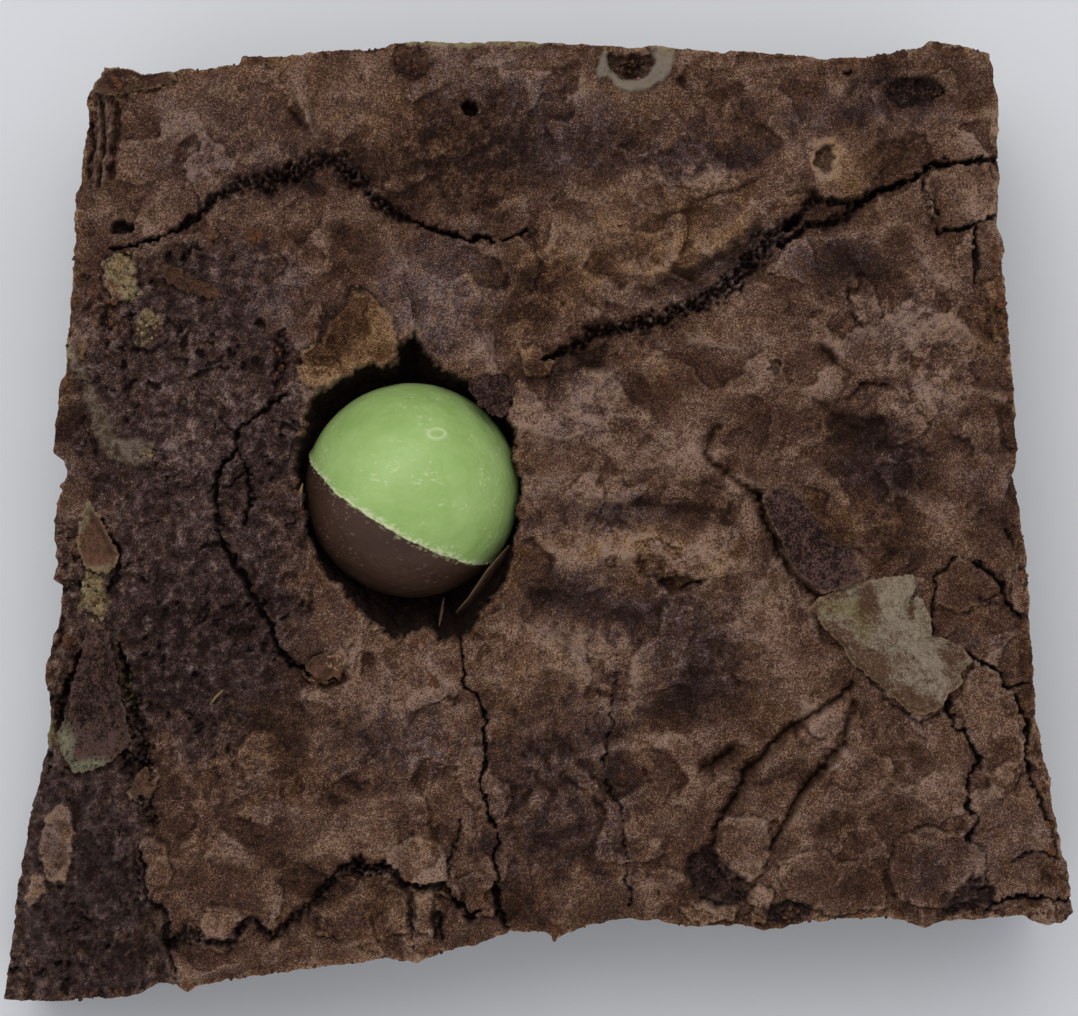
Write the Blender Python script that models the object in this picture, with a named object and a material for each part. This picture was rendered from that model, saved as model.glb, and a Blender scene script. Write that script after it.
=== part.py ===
"""Mint chocolate brownie, hand cut and seen best from above.

A slab of brownie with a cracked papery crust, a slumped crumb shoulder on its left and
a pit left of the middle. A chocolate ball in two colours sits in the pit, and a broken
mint flake lies on the crust. Metres, +Z up. The origin is on the underside, under the
middle of the slab's plan.
"""
import math

import bmesh
import bpy
import numpy as np
from mathutils import Vector

# Driving dimensions in metres
BALL_DIAMETER = 0.0185
BALL_PROUD = 0.0048
SLAB_HEIGHT = 0.028
HALF_LENGTH = 0.0459
HALF_WIDTH = 0.0411
GAP = 0.0003
SEAM_GAP = 0.0003
MINT_FLAKE_THICKNESS = 0.0011

# The plan is read from straight above in squares, x to the right and y to the front.
# The ball is 219 squares across, which sets the size of a square.
SQUARE = BALL_DIAMETER / 219
PLAN_ORIGIN = np.array((530.5, 528.0))

# Plan of the slab, one run of squares for each edge
BACK_EDGE = ((105, 70), (179, 72), (241, 58), (307, 53), (385, 49), (430, 41), (519, 41), (606, 46),
             (699, 50), (805, 57), (871, 56), (930, 41), (989, 54))
RIGHT_EDGE = ((989, 54), (997, 105), (998, 227), (1004, 267), (1012, 370), (1017, 502), (1028, 594),
              (1035, 709), (1052, 797), (1074, 912))
FRONT_EDGE = ((-13, 1015), (80, 1008), (141, 997), (196, 985), (254, 977), (339, 965), (418, 960),
              (482, 942), (511, 931), (568, 932), (607, 921), (714, 927), (762, 930), (813, 921),
              (890, 917), (926, 927), (1022, 916), (1062, 922), (1074, 912))
LEFT_EDGE = ((105, 70), (86, 100), (80, 145), (75, 199), (76, 234), (70, 329), (60, 388), (53, 452),
             (63, 491), (52, 522), (57, 586), (46, 648), (46, 717), (38, 755), (20, 826), (3, 912),
             (-13, 1015))
EDGE_RAGGEDNESS = 0.00028

# Grid of the crust and rows of the cut sides
CELLS_ACROSS = 54
CELLS_DEEP = 50
SIDE_ROWS = (0.72, 0.38, 0.0)
SIDE_WAVINESS = 0.0006
UNDERCUT = 0.0009

# Crust relief: seeded swell, rolled edge, folds and blisters
SWELL_SEED = 12
SWELL_WAVES = 9
SWELL_HEIGHT = 0.00016
EDGE_ROLL_WIDTH = 0.0026
EDGE_ROLL_DROP = 0.0009

# A fold is a run of squares with its half width and its height; a groove has a negative height
FOLDS = (
    (((596, 235), (690, 196), (792, 168)), 0.0016, 0.0008),
    (((640, 272), (705, 250), (752, 224)), 0.0012, 0.0005),
    (((300, 100), (322, 148)), 0.0010, 0.0007),
    (((560, 560), (640, 546), (726, 560)), 0.0018, 0.0006),
    (((520, 420), (646, 418), (700, 470)), 0.0014, 0.0006),
    (((854, 684), (789, 728), (745, 772), (714, 844)), 0.0011, -0.0009),
    (((852, 701), (840, 745), (774, 846)), 0.0011, -0.0008),
    (((705, 770), (732, 750)), 0.0009, -0.0004),
    (((718, 425), (705, 449), (760, 500)), 0.0012, -0.0006),
    (((848, 275), (860, 324)), 0.0012, 0.0006),
    (((835, 430), (921, 480)), 0.0020, -0.0007),
    (((540, 610), (640, 620)), 0.0018, -0.0007),
)

# A blister is a centre in squares, a radius and a height; a sunken one has a negative height
BLISTERS = (
    ((843, 168), 0.0030, 0.0015),
    ((702, 666), 0.0044, -0.0008),
    ((702, 666), 0.0026, 0.0007),
    ((571, 591), 0.0019, 0.0007),
    ((742, 849), 0.0025, 0.0006),
    ((937, 868), 0.0042, 0.0008),
    ((928, 864), 0.0019, -0.0009),
    ((960, 198), 0.0030, 0.0006),
    ((160, 489), 0.0019, 0.0008),
    ((912, 90), 0.0026, -0.0009),
    ((415, 860), 0.0026, 0.0005),
    ((720, 876), 0.0026, -0.0012),
)

# Step of the slumped shoulder on the left, from back to front, and how far it falls
SHOULDER_LINE = ((86, 493), (120, 555), (110, 634), (133, 741), (148, 820), (142, 901), (168, 942),
                 (184, 1002))
SHOULDER_STEP = 0.0014
SHOULDER_FALL_BACK = 0.002
SHOULDER_FALL_FRONT = 0.015
SHOULDER_STEP_WIDTH = 0.0015
STEP_END_BLEND = 0.004
TERRACE_LINE = ((118, 86), (112, 130), (104, 175), (92, 215))
TERRACE_FALL = 0.0034
TERRACE_STEP_WIDTH = 0.0022

# Pit round the ball: its edge in the crust, and how it narrows with depth
PIT_EDGE = ((413, 330), (436, 362), (470, 380), (500, 376), (513, 395), (512, 425), (517, 461),
            (523, 495), (519, 530), (511, 572), (484, 610), (464, 642), (440, 636), (410, 640),
            (392, 644), (349, 601), (314, 562), (303, 520), (295, 470), (303, 429), (318, 390),
            (349, 369), (383, 364), (396, 352))
PIT_DEPTHS = ((0.0040, 1.0), (-0.0012, 1.0), (-0.0045, 0.97), (-0.0085, 0.86), (-0.0125, 0.62))
POCKET_CLEARANCE = 0.0004

# Ball: its place in squares, its seam's axis and how far the seam plane is from the centre
BALL_AT = (411, 490.5)
BALL_RADIUS = BALL_DIAMETER / 2
SEAM_AXIS = Vector((-0.493, -0.838, -0.237)).normalized()
SEAM_OFFSET = 0.177 * BALL_RADIUS
BALL_SEGMENTS = 32
BALL_RINGS = 16

# Open cracks: a run of squares, each with the crack's width in squares, and a depth
CRACKS = (
    (((128, 250, 4), (196, 218, 6), (241, 184, 9), (270, 181, 15), (319, 159, 13), (349, 172, 12),
      (381, 206, 10), (431, 227, 7), (492, 241, 5), (528, 232, 4)), 0.0024),
    (((550, 357, 6), (596, 331, 11), (652, 322, 13), (705, 302, 15), (734, 280, 17), (757, 257, 18),
      (780, 236, 16), (812, 224, 10), (846, 216, 8), (862, 202, 8), (886, 189, 7), (938, 163, 6),
      (990, 160, 6)), 0.0030),
    (((219, 470, 6), (217, 534, 8), (241, 572, 9), (268, 622, 9), (286, 661, 8), (332, 678, 5)), 0.0022),
    (((284, 397, 5), (242, 428, 6), (240, 462, 6), (252, 499, 5)), 0.0018),
    (((464, 656, 7), (479, 697, 7), (485, 756, 6), (497, 836, 6), (496, 911, 5)), 0.0020),
    (((630, 663, 4), (611, 699, 5), (604, 768, 6), (623, 820, 5), (631, 900, 4)), 0.0016),
    (((189, 938, 12), (250, 926, 10), (316, 901, 8), (350, 866, 10), (396, 872, 8), (450, 892, 7)),
     0.0022),
    (((951, 700, 5), (965, 734, 6), (972, 765, 6), (970, 842, 5)), 0.0016),
    (((976, 562, 5), (1002, 586, 6), (1016, 612, 5)), 0.0016),
)
CRACK_TOP = 0.0035
CRACK_FLOOR_SHARE = 0.4

# Burst bubbles and slots: a centre in squares, half sizes in squares and a depth
HOLES = (
    ((826, 160), (8, 14), 0.0026),
    ((470, 107), (8, 8), 0.0022),
    ((122, 228), (9, 8), 0.0022),
    ((280, 362), (6, 30), 0.0020),
    ((678, 581), (20, 6), 0.0010),
    ((774, 366), (7, 7), 0.0010),
    ((141, 782), (14, 34), 0.0040),
)
HOLE_SIDES = 10
HOLE_FOOT_SHARE = 0.5
HOLE_TOP_SHARE = 1.2

# Flakes fused to the crust: an outline in squares and a height over the crust
STRIP_FLAKE = ((762, 498), (778, 486), (800, 502), (825, 538), (853, 556), (860, 576), (838, 589),
               (812, 583), (790, 565), (774, 532))
BACK_LEFT_FLAKE = ((88, 500), (104, 523), (120, 555), (107, 573), (86, 568), (77, 538))
LOW_LEFT_FLAKE = ((96, 626), (112, 640), (122, 690), (132, 740), (116, 752), (72, 773), (56, 738),
                  (67, 690), (84, 656))
TORN_FLAKE = ((304, 664), (322, 652), (343, 648), (340, 670), (322, 679))
GAP_FLAKE = ((470, 380), (500, 377), (516, 392), (508, 414), (486, 408))
TAN_FLAKE = ((130, 784), (146, 766), (159, 782), (144, 799))
FUSED_FLAKES = (
    ("strip_flake", STRIP_FLAKE, 0.0011),
    ("back_left_flake", BACK_LEFT_FLAKE, 0.0010),
    ("low_left_flake", LOW_LEFT_FLAKE, 0.0014),
    ("torn_flake", TORN_FLAKE, 0.0006),
    ("gap_flake", GAP_FLAKE, 0.0004),
    ("tan_flake", TAN_FLAKE, 0.0012),
)
FLAKE_ROOT = 0.0012
FLAKE_BEVEL_SHARE = 0.3

# Thin bands fused to the crust: a run of squares, a half width in squares and a height
MINT_RING = ((602, 54), (604, 74), (618, 88), (642, 88), (660, 74), (667, 58))
MINT_STREAK = ((76, 360), (92, 405), (110, 438), (140, 455))
FUSED_BANDS = (
    ("mint_ring", MINT_RING, 6, 0.0006),
    ("mint_streak", MINT_STREAK, 8, 0.0006),
)
BAND_END_SHARE = 0.6
BAND_EDGE_SHARE = 0.5

# Crumbs fused to the crust: a place in squares and a radius
CRUMBS = (((211, 235), 0.0007), ((254, 236), 0.0008), ((434, 681), 0.0007), ((404, 60), 0.0011),
          ((418, 68), 0.0010), ((144, 268), 0.0010), ((119, 284), 0.0012), ((150, 322), 0.0010))
CRUMB_SUNK = 0.3

# Shard standing in the gap beside the ball
SHARD_RUN = ((506, 547), (488, 570), (472, 592), (457, 611))
SHARD_THICKNESS = 0.0006
SHARD_FOOT_SHARE = 4.0
SHARD_BASE = 0.0085
SHARD_TOP = 0.0002
SHARD_LEAN = 0.0014

# Mint flake lying on the crust
MINT_FLAKE = ((808, 609), (830, 592), (852, 583), (890, 576), (913, 574), (909, 602), (922, 603),
              (930, 624), (934, 637), (963, 649), (971, 660), (962, 684), (940, 707), (923, 715),
              (907, 710), (882, 688), (850, 663), (838, 642), (818, 616))
MINT_FLAKE_CURL = 0.0010
FLAKE_RINGS = (1.0, 0.66, 0.33)

# Finish of each node: colour, roughness and metallic
FINISHES = {
    "brownie": ((0.072, 0.042, 0.033, 1.0), 0.85, 0.0),
    "ball_mint_half": ((0.290, 0.500, 0.130, 1.0), 0.50, 0.0),
    "ball_chocolate_half": ((0.042, 0.022, 0.016, 1.0), 0.55, 0.0),
    "mint_flake": ((0.200, 0.190, 0.130, 1.0), 0.70, 0.0),
}


def clear_scene():
    """Remove whatever objects the file opened with."""
    for found in list(bpy.data.objects):
        bpy.data.objects.remove(found, do_unlink=True)


def plan(squares):
    """Turn plan squares into metres, with +Y to the back."""
    metres = (np.asarray(squares, dtype=float)[..., :2] - PLAN_ORIGIN) * SQUARE
    return metres * (1.0, -1.0)


def resample(points, count):
    """Return count points spaced evenly along a run of points."""
    steps = np.linalg.norm(np.diff(points, axis=0), axis=1)
    along = np.concatenate(((0.0,), np.cumsum(steps)))
    wanted = np.linspace(0.0, along[-1], count)
    return np.stack([np.interp(wanted, along, points[:, k]) for k in range(points.shape[1])], axis=1)


def distance_to_run(x, y, run):
    """Return the least distance from each point to a run of straight pieces."""
    nearest = np.full(np.shape(x), np.inf)
    for start, end in zip(run[:-1], run[1:]):
        way = end - start
        along = ((x - start[0]) * way[0] + (y - start[1]) * way[1]) / way.dot(way)
        along = np.clip(along, 0.0, 1.0)
        away = np.hypot(x - start[0] - along * way[0], y - start[1] - along * way[1])
        nearest = np.minimum(nearest, away)
    return nearest


def smooth_step(value):
    """Ease from 0 to 1 as value goes from 0 to 1."""
    t = np.clip(value, 0.0, 1.0)
    return t * t * (3.0 - 2.0 * t)


def swell(x, y):
    """Add a few seeded waves, 8 to 30 mm long, that keep the crust from being flat."""
    draw = np.random.default_rng(SWELL_SEED)
    total = np.zeros(np.shape(x))
    for _ in range(SWELL_WAVES):
        wave_length = draw.uniform(0.008, 0.030)
        heading = draw.uniform(0.0, math.tau)
        phase = draw.uniform(0.0, math.tau)
        across = x * math.cos(heading) + y * math.sin(heading)
        total += SWELL_HEIGHT * np.sin(math.tau * across / wave_length + phase)
    return total


def shoulder_drop(x, y):
    """Return how far the crumb has slumped left of the shoulder's step."""
    line = plan(SHOULDER_LINE)[::-1]
    edge = plan(LEFT_EDGE)[::-1]
    step_x = np.interp(y, line[:, 1], line[:, 0])
    edge_x = np.interp(y, edge[:, 1], edge[:, 0])
    inside = smooth_step((line[-1, 1] - y) / STEP_END_BLEND)
    to_front = smooth_step((line[-1, 1] - y) / (line[-1, 1] - line[0, 1]))
    fall = SHOULDER_FALL_BACK + (SHOULDER_FALL_FRONT - SHOULDER_FALL_BACK) * to_front ** 1.5
    share = np.clip((step_x - x) / np.maximum(step_x - edge_x, SHOULDER_STEP_WIDTH), 0.0, 1.0)
    over_step = smooth_step((step_x - x) / SHOULDER_STEP_WIDTH)
    return inside * (SHOULDER_STEP * over_step + (fall - SHOULDER_STEP) * share ** 1.2)


def terrace_drop(x, y):
    """Return the fall outside the layered flakes of the back left corner."""
    line = plan(TERRACE_LINE)[::-1]
    step_x = np.interp(y, line[:, 1], line[:, 0])
    front_end = smooth_step((y - line[0, 1]) / STEP_END_BLEND)
    back_end = smooth_step((line[-1, 1] + STEP_END_BLEND / 2 - y) / STEP_END_BLEND)
    return TERRACE_FALL * front_end * back_end * smooth_step((step_x - x) / TERRACE_STEP_WIDTH)


def crust_height(x, y):
    """Return the height of the crust over the underside."""
    around = plan(BACK_EDGE + RIGHT_EDGE[1:] + FRONT_EDGE[-2::-1] + LEFT_EDGE[-2::-1])
    height = SLAB_HEIGHT + swell(x, y)
    height -= EDGE_ROLL_DROP * (1.0 - smooth_step(distance_to_run(x, y, around) / EDGE_ROLL_WIDTH))
    for run, half_width, rise in FOLDS:
        height += rise * np.exp(-(distance_to_run(x, y, plan(run)) / half_width) ** 2)
    for centre, radius, rise in BLISTERS:
        middle = plan(centre)
        away = np.hypot(x - middle[0], y - middle[1]) / radius
        height += rise * np.exp(-away ** 4)
    return height - shoulder_drop(x, y) - terrace_drop(x, y)


def crust_at(point):
    """Return the crust's height at one plan point in metres."""
    return float(crust_height(np.array(point[0]), np.array(point[1])))


def finish(name):
    """Make the material of a node."""
    colour, roughness, metallic = FINISHES[name]
    material = bpy.data.materials.new(name + "_finish")
    material.use_nodes = True
    shader = material.node_tree.nodes["Principled BSDF"]
    shader.inputs["Base Color"].default_value = colour
    shader.inputs["Roughness"].default_value = roughness
    shader.inputs["Metallic"].default_value = metallic
    return material


def make_object(name, verts, faces):
    """Make an object from vertices and faces, with its faces turned outwards."""
    mesh = bpy.data.meshes.new(name)
    mesh.from_pydata([tuple(v) for v in verts], [], faces)
    shell = bmesh.new()
    shell.from_mesh(mesh)
    bmesh.ops.recalc_face_normals(shell, faces=shell.faces)
    shell.to_mesh(mesh)
    shell.free()
    made = bpy.data.objects.new(name, mesh)
    bpy.context.scene.collection.objects.link(made)
    return made


def slab_plan():
    """Blend the four edges into a grid of plan points, with ragged outer points."""
    back = resample(plan(BACK_EDGE), CELLS_ACROSS + 1)
    front = resample(plan(FRONT_EDGE), CELLS_ACROSS + 1)
    left = resample(plan(LEFT_EDGE)[::-1], CELLS_DEEP + 1)
    right = resample(plan(RIGHT_EDGE)[::-1], CELLS_DEEP + 1)
    u = np.linspace(0.0, 1.0, CELLS_ACROSS + 1)[None, :, None]
    v = np.linspace(0.0, 1.0, CELLS_DEEP + 1)[:, None, None]
    grid = (1 - v) * front[None] + v * back[None] + (1 - u) * left[:, None] + u * right[:, None]
    grid -= (1 - u) * (1 - v) * front[0] + u * (1 - v) * front[-1]
    grid -= (1 - u) * v * back[0] + u * v * back[-1]
    draw = np.random.default_rng(SWELL_SEED)
    shake = draw.normal(0.0, EDGE_RAGGEDNESS, grid.shape)
    shake[1:-1, 1:-1] = 0.0
    grid += shake
    limit = np.array((HALF_LENGTH, HALF_WIDTH))
    return np.clip(grid, -limit, limit)


def rim_indices():
    """Return the grid's outer vertex numbers, anticlockwise from the front left corner."""
    numbers = np.arange((CELLS_ACROSS + 1) * (CELLS_DEEP + 1)).reshape(CELLS_DEEP + 1, CELLS_ACROSS + 1)
    return np.concatenate((numbers[0, :-1], numbers[:-1, -1], numbers[-1, :0:-1], numbers[:0:-1, 0]))


def make_slab():
    """Make the slab: relief on top, wavy cut sides and a flat underside."""
    grid = slab_plan()
    top = np.dstack((grid, crust_height(grid[..., 0], grid[..., 1]))).reshape(-1, 3)
    wide = CELLS_ACROSS + 1
    faces = []
    for row in range(CELLS_DEEP):
        for column in range(CELLS_ACROSS):
            corner = row * wide + column
            faces.append((corner, corner + 1, corner + wide + 1, corner + wide))
    rim = rim_indices()
    count = len(rim)
    rows = [top]
    draw = np.random.default_rng(SWELL_SEED + 1)
    shake = draw.uniform(-1.0, 1.0, (len(SIDE_ROWS), count))
    shake = (np.roll(shake, 1, axis=1) + 2.0 * shake + np.roll(shake, -1, axis=1)) / 4.0
    previous = rim
    for number, share in enumerate(SIDE_ROWS):
        corners = top[rim]
        inward = -corners[:, :2] / np.linalg.norm(corners[:, :2], axis=1, keepdims=True)
        depth = UNDERCUT * (1.0 - share) + SIDE_WAVINESS * (1.0 + shake[number]) * 0.5
        ring = np.column_stack((corners[:, :2] + inward * depth[:, None], corners[:, 2] * share))
        first = len(top) + number * count
        current = np.arange(first, first + count)
        for k in range(count):
            after = (k + 1) % count
            faces.append((previous[k], current[k], current[after], previous[after]))
        rows.append(ring)
        previous = current
    faces.append(tuple(int(k) for k in previous[::-1]))
    faces = [tuple(int(k) for k in face) for face in faces]
    return make_object("brownie", np.vstack(rows), faces)


def make_loft(name, rings):
    """Join rings of equal length, first ring lowest, into one closed skin."""
    count = len(rings[0])
    faces = []
    for level in range(len(rings) - 1):
        low = level * count
        high = low + count
        for k in range(count):
            after = (k + 1) % count
            faces.append((low + k, low + after, high + after, high + k))
    faces.append(tuple(range(count))[::-1])
    faces.append(tuple(range((len(rings) - 1) * count, len(rings) * count)))
    return make_object(name, np.vstack(rings), faces)


def as_cutter(shape):
    """Keep an object as a guide that only cuts."""
    shape.hide_render = True
    shape.display_type = 'WIRE'
    return shape


def cut(target, shape):
    """Cut a shape out of the target with a Boolean difference."""
    modifier = target.modifiers.new("cut_" + shape.name, 'BOOLEAN')
    modifier.operation = 'DIFFERENCE'
    modifier.solver = 'EXACT'
    modifier.object = as_cutter(shape)


def apply_modifiers(target):
    """Replace the target's mesh by what its modifiers give."""
    seen = target.evaluated_get(bpy.context.evaluated_depsgraph_get())
    result = bpy.data.meshes.new_from_object(seen)
    target.modifiers.clear()
    target.data = result


def ball_centre():
    """Return the ball's middle, set by how far it stands over the crust."""
    x, y = plan(BALL_AT)
    return Vector((x, y, SLAB_HEIGHT + BALL_PROUD - BALL_RADIUS))


def cut_pit(slab):
    """Cut the pit: a tapering hole with the crust's torn edge, and a round seat for the ball."""
    edge = plan(PIT_EDGE)
    middle = plan(BALL_AT)
    rings = []
    for height, share in PIT_DEPTHS[::-1]:
        spread = middle + (edge - middle) * share
        rings.append(np.column_stack((spread, np.full(len(edge), SLAB_HEIGHT + height))))
    cut(slab, make_loft("pit_cutter", rings))
    seat = bpy.data.meshes.new("seat_cutter")
    shell = bmesh.new()
    radius = BALL_RADIUS + GAP + POCKET_CLEARANCE
    bmesh.ops.create_uvsphere(shell, u_segments=BALL_SEGMENTS, v_segments=BALL_RINGS, radius=radius)
    bmesh.ops.translate(shell, verts=shell.verts, vec=ball_centre())
    shell.to_mesh(seat)
    shell.free()
    cutter = bpy.data.objects.new("seat_cutter", seat)
    bpy.context.scene.collection.objects.link(cutter)
    cut(slab, cutter)


def crack_cutter(name, run, depth):
    """Make a tapering trough along a crack, as wide at each point as the run says."""
    points = plan(run)
    half = np.array([width for _, _, width in run]) * SQUARE / 2
    ways = np.gradient(points, axis=0)
    ways /= np.linalg.norm(ways, axis=1, keepdims=True)
    sides = np.column_stack((-ways[:, 1], ways[:, 0])) * half[:, None]
    floor = np.array([crust_at(p) for p in points]) - depth
    top = floor + depth + CRACK_TOP
    sections = []
    for k in range(len(points)):
        sections.append(((*(points[k] + sides[k]), top[k]), (*(points[k] - sides[k]), top[k]),
                         (*(points[k] - sides[k] * CRACK_FLOOR_SHARE), floor[k]),
                         (*(points[k] + sides[k] * CRACK_FLOOR_SHARE), floor[k])))
    return make_loft(name, [np.array(section) for section in sections])


def hole_cutter(name, centre, half_sizes, depth):
    """Make an oval plug, narrower at its foot, for a burst bubble or a slot."""
    middle = plan(centre)
    turns = np.linspace(0.0, math.tau, HOLE_SIDES, endpoint=False)
    oval = np.column_stack((np.cos(turns) * half_sizes[0], np.sin(turns) * half_sizes[1])) * SQUARE
    ground = crust_at(middle)
    rings = []
    for height, share in ((-depth, HOLE_FOOT_SHARE), (CRACK_TOP, HOLE_TOP_SHARE)):
        rings.append(np.column_stack((middle + oval * share, np.full(HOLE_SIDES, ground + height))))
    return make_loft(name, rings)


def make_flake(name, outline, under, over, curl=0.0):
    """Make a thin uneven plate on the crust.

    under and over are the heights of its two faces from the crust; curl lifts its outline.
    """
    edge = plan(outline)
    middle = edge.mean(axis=0)
    count = len(edge)
    verts = []
    for face_height, is_top in ((under, False), (over, True)):
        for share in FLAKE_RINGS:
            ring = middle + (edge - middle) * share
            lift = curl * share ** 3
            bevel = FLAKE_BEVEL_SHARE * (over - under) if share == 1.0 and is_top else 0.0
            ground = crust_height(ring[:, 0], ring[:, 1])
            verts.append(np.column_stack((ring, ground + face_height + lift - bevel)))
        verts.append(np.array(((*middle, crust_at(middle) + face_height),)))
    layer = count * len(FLAKE_RINGS) + 1
    faces = []
    for side in range(2):
        base = side * layer
        for level in range(len(FLAKE_RINGS) - 1):
            for k in range(count):
                after = (k + 1) % count
                outer = base + level * count
                inner = outer + count
                faces.append((outer + k, outer + after, inner + after, inner + k))
        last = base + (len(FLAKE_RINGS) - 1) * count
        for k in range(count):
            faces.append((last + k, last + (k + 1) % count, base + layer - 1))
    for k in range(count):
        after = (k + 1) % count
        faces.append((k, after, layer + after, layer + k))
    return make_object(name, np.vstack(verts), faces)


def make_band(name, run, half_width, rise):
    """Make a low bead along a run on the crust."""
    points = plan(run)
    ways = np.gradient(points, axis=0)
    ways /= np.linalg.norm(ways, axis=1, keepdims=True)
    sides = np.column_stack((-ways[:, 1], ways[:, 0])) * half_width * SQUARE
    sections = []
    for k in range(len(points)):
        share = 1.0 if 0 < k < len(points) - 1 else BAND_END_SHARE
        left = points[k] + sides[k] * share
        right = points[k] - sides[k] * share
        ground = crust_at(points[k])
        edge_height = ground + rise * BAND_EDGE_SHARE
        sections.append(np.array(((*left, ground - FLAKE_ROOT), (*left, edge_height),
                                  (*points[k], ground + rise), (*right, edge_height),
                                  (*right, ground - FLAKE_ROOT))))
    return make_loft(name, sections)


def make_crumb(name, place, radius):
    """Make a small rounded crumb, partly sunk in the crust."""
    at = plan(place)
    mesh = bpy.data.meshes.new(name)
    shell = bmesh.new()
    bmesh.ops.create_icosphere(shell, subdivisions=1, radius=radius)
    centre = Vector((at[0], at[1], crust_at(at) + radius * CRUMB_SUNK))
    bmesh.ops.translate(shell, verts=shell.verts, vec=centre)
    shell.to_mesh(mesh)
    shell.free()
    made = bpy.data.objects.new(name, mesh)
    bpy.context.scene.collection.objects.link(made)
    return made


def make_shard():
    """Make the thin curved shard that stands in the gap beside the ball."""
    points = plan(SHARD_RUN)
    middle = plan(BALL_AT)
    outward = points - middle
    outward /= np.linalg.norm(outward, axis=1, keepdims=True)
    half = outward * SHARD_THICKNESS / 2
    foot = points + outward * SHARD_LEAN
    sections = []
    for k in range(len(points)):
        low = SLAB_HEIGHT - SHARD_BASE
        high = SLAB_HEIGHT + SHARD_TOP
        broad_foot = foot[k] + half[k] * SHARD_FOOT_SHARE
        sections.append(np.array(((*(foot[k] - half[k]), low), (*broad_foot, low),
                                  (*(points[k] + half[k]), high), (*(points[k] - half[k]), high))))
    return make_loft("shard", sections)


def fuse_relief(slab):
    """Fuse flakes, bands and crumbs to the slab with one Boolean union."""
    relief = bpy.data.collections.new("relief")
    bpy.context.scene.collection.children.link(relief)
    pieces = [make_flake(name, outline, -FLAKE_ROOT, rise) for name, outline, rise in FUSED_FLAKES]
    pieces += [make_band(name, run, half, rise) for name, run, half, rise in FUSED_BANDS]
    pieces += [make_crumb("crumb_%d" % number, *crumb) for number, crumb in enumerate(CRUMBS)]
    for piece in pieces:
        bpy.context.scene.collection.objects.unlink(piece)
        relief.objects.link(piece)
    join = slab.modifiers.new("fuse_relief", 'BOOLEAN')
    join.operation = 'UNION'
    join.solver = 'EXACT'
    join.operand_type = 'COLLECTION'
    join.collection = relief
    apply_modifiers(slab)
    for piece in pieces:
        bpy.data.objects.remove(piece, do_unlink=True)
    bpy.data.collections.remove(relief)


def fuse_shard(slab):
    """Fuse the standing shard to the wall of the finished pit."""
    shard = make_shard()
    join = slab.modifiers.new("fuse_shard", 'BOOLEAN')
    join.operation = 'UNION'
    join.solver = 'EXACT'
    join.object = shard
    apply_modifiers(slab)
    bpy.data.objects.remove(shard, do_unlink=True)


def make_brownie():
    """Make the whole brownie solid: slab, relief, pit, cracks, bubbles and shard."""
    slab = make_slab()
    fuse_relief(slab)
    cut_pit(slab)
    for number, (run, depth) in enumerate(CRACKS):
        cut(slab, crack_cutter("crack_%d" % number, run, depth))
    for number, (centre, half_sizes, depth) in enumerate(HOLES):
        cut(slab, hole_cutter("hole_%d" % number, centre, half_sizes, depth))
    apply_modifiers(slab)
    fuse_shard(slab)
    slab.data.materials.append(finish("brownie"))
    return slab


def make_ball_half(name, keep_chocolate):
    """Make one colour of the ball: a sphere cut flat just beside the seam plane."""
    mesh = bpy.data.meshes.new(name)
    shell = bmesh.new()
    bmesh.ops.create_uvsphere(shell, u_segments=BALL_SEGMENTS, v_segments=BALL_RINGS, radius=BALL_RADIUS)
    turn = Vector((0.0, 0.0, 1.0)).rotation_difference(SEAM_AXIS).to_matrix()
    bmesh.ops.rotate(shell, verts=shell.verts, matrix=turn)
    side = 1.0 if keep_chocolate else -1.0
    geometry = shell.verts[:] + shell.edges[:] + shell.faces[:]
    bmesh.ops.bisect_plane(shell, geom=geometry, plane_co=SEAM_AXIS * (SEAM_OFFSET + side * SEAM_GAP / 2),
                           plane_no=SEAM_AXIS, clear_inner=keep_chocolate, clear_outer=not keep_chocolate)
    bmesh.ops.holes_fill(shell, edges=[edge for edge in shell.edges if edge.is_boundary], sides=0)
    bmesh.ops.translate(shell, verts=shell.verts, vec=ball_centre())
    bmesh.ops.recalc_face_normals(shell, faces=shell.faces)
    shell.to_mesh(mesh)
    shell.free()
    mesh.shade_smooth()
    mesh.set_sharp_from_angle(angle=math.radians(40.0))
    half = bpy.data.objects.new(name, mesh)
    bpy.context.scene.collection.objects.link(half)
    half.data.materials.append(finish(name))
    return half


def make_mint_flake():
    """Make the broken mint flake, held just clear of the crust under it."""
    clear = GAP * 2
    flake = make_flake("mint_flake", MINT_FLAKE, clear, clear + MINT_FLAKE_THICKNESS, MINT_FLAKE_CURL)
    flake.data.materials.append(finish("mint_flake"))
    return flake


def main():
    """Build the four pieces of the brownie."""
    clear_scene()
    make_brownie()
    make_ball_half("ball_mint_half", keep_chocolate=False)
    make_ball_half("ball_chocolate_half", keep_chocolate=True)
    make_mint_flake()


main()
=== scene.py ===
"""Looks of the mint chocolate brownie.

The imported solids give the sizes. This script dresses them with a finely modelled
papery crust, porous cut sides, the pit round the two-colour ball, the ball itself, the
mint flake and the loose flakes and crumbs, then sets the floor, the light and the camera.
"""

import logging
import math
from dataclasses import dataclass
from enum import Enum

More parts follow.
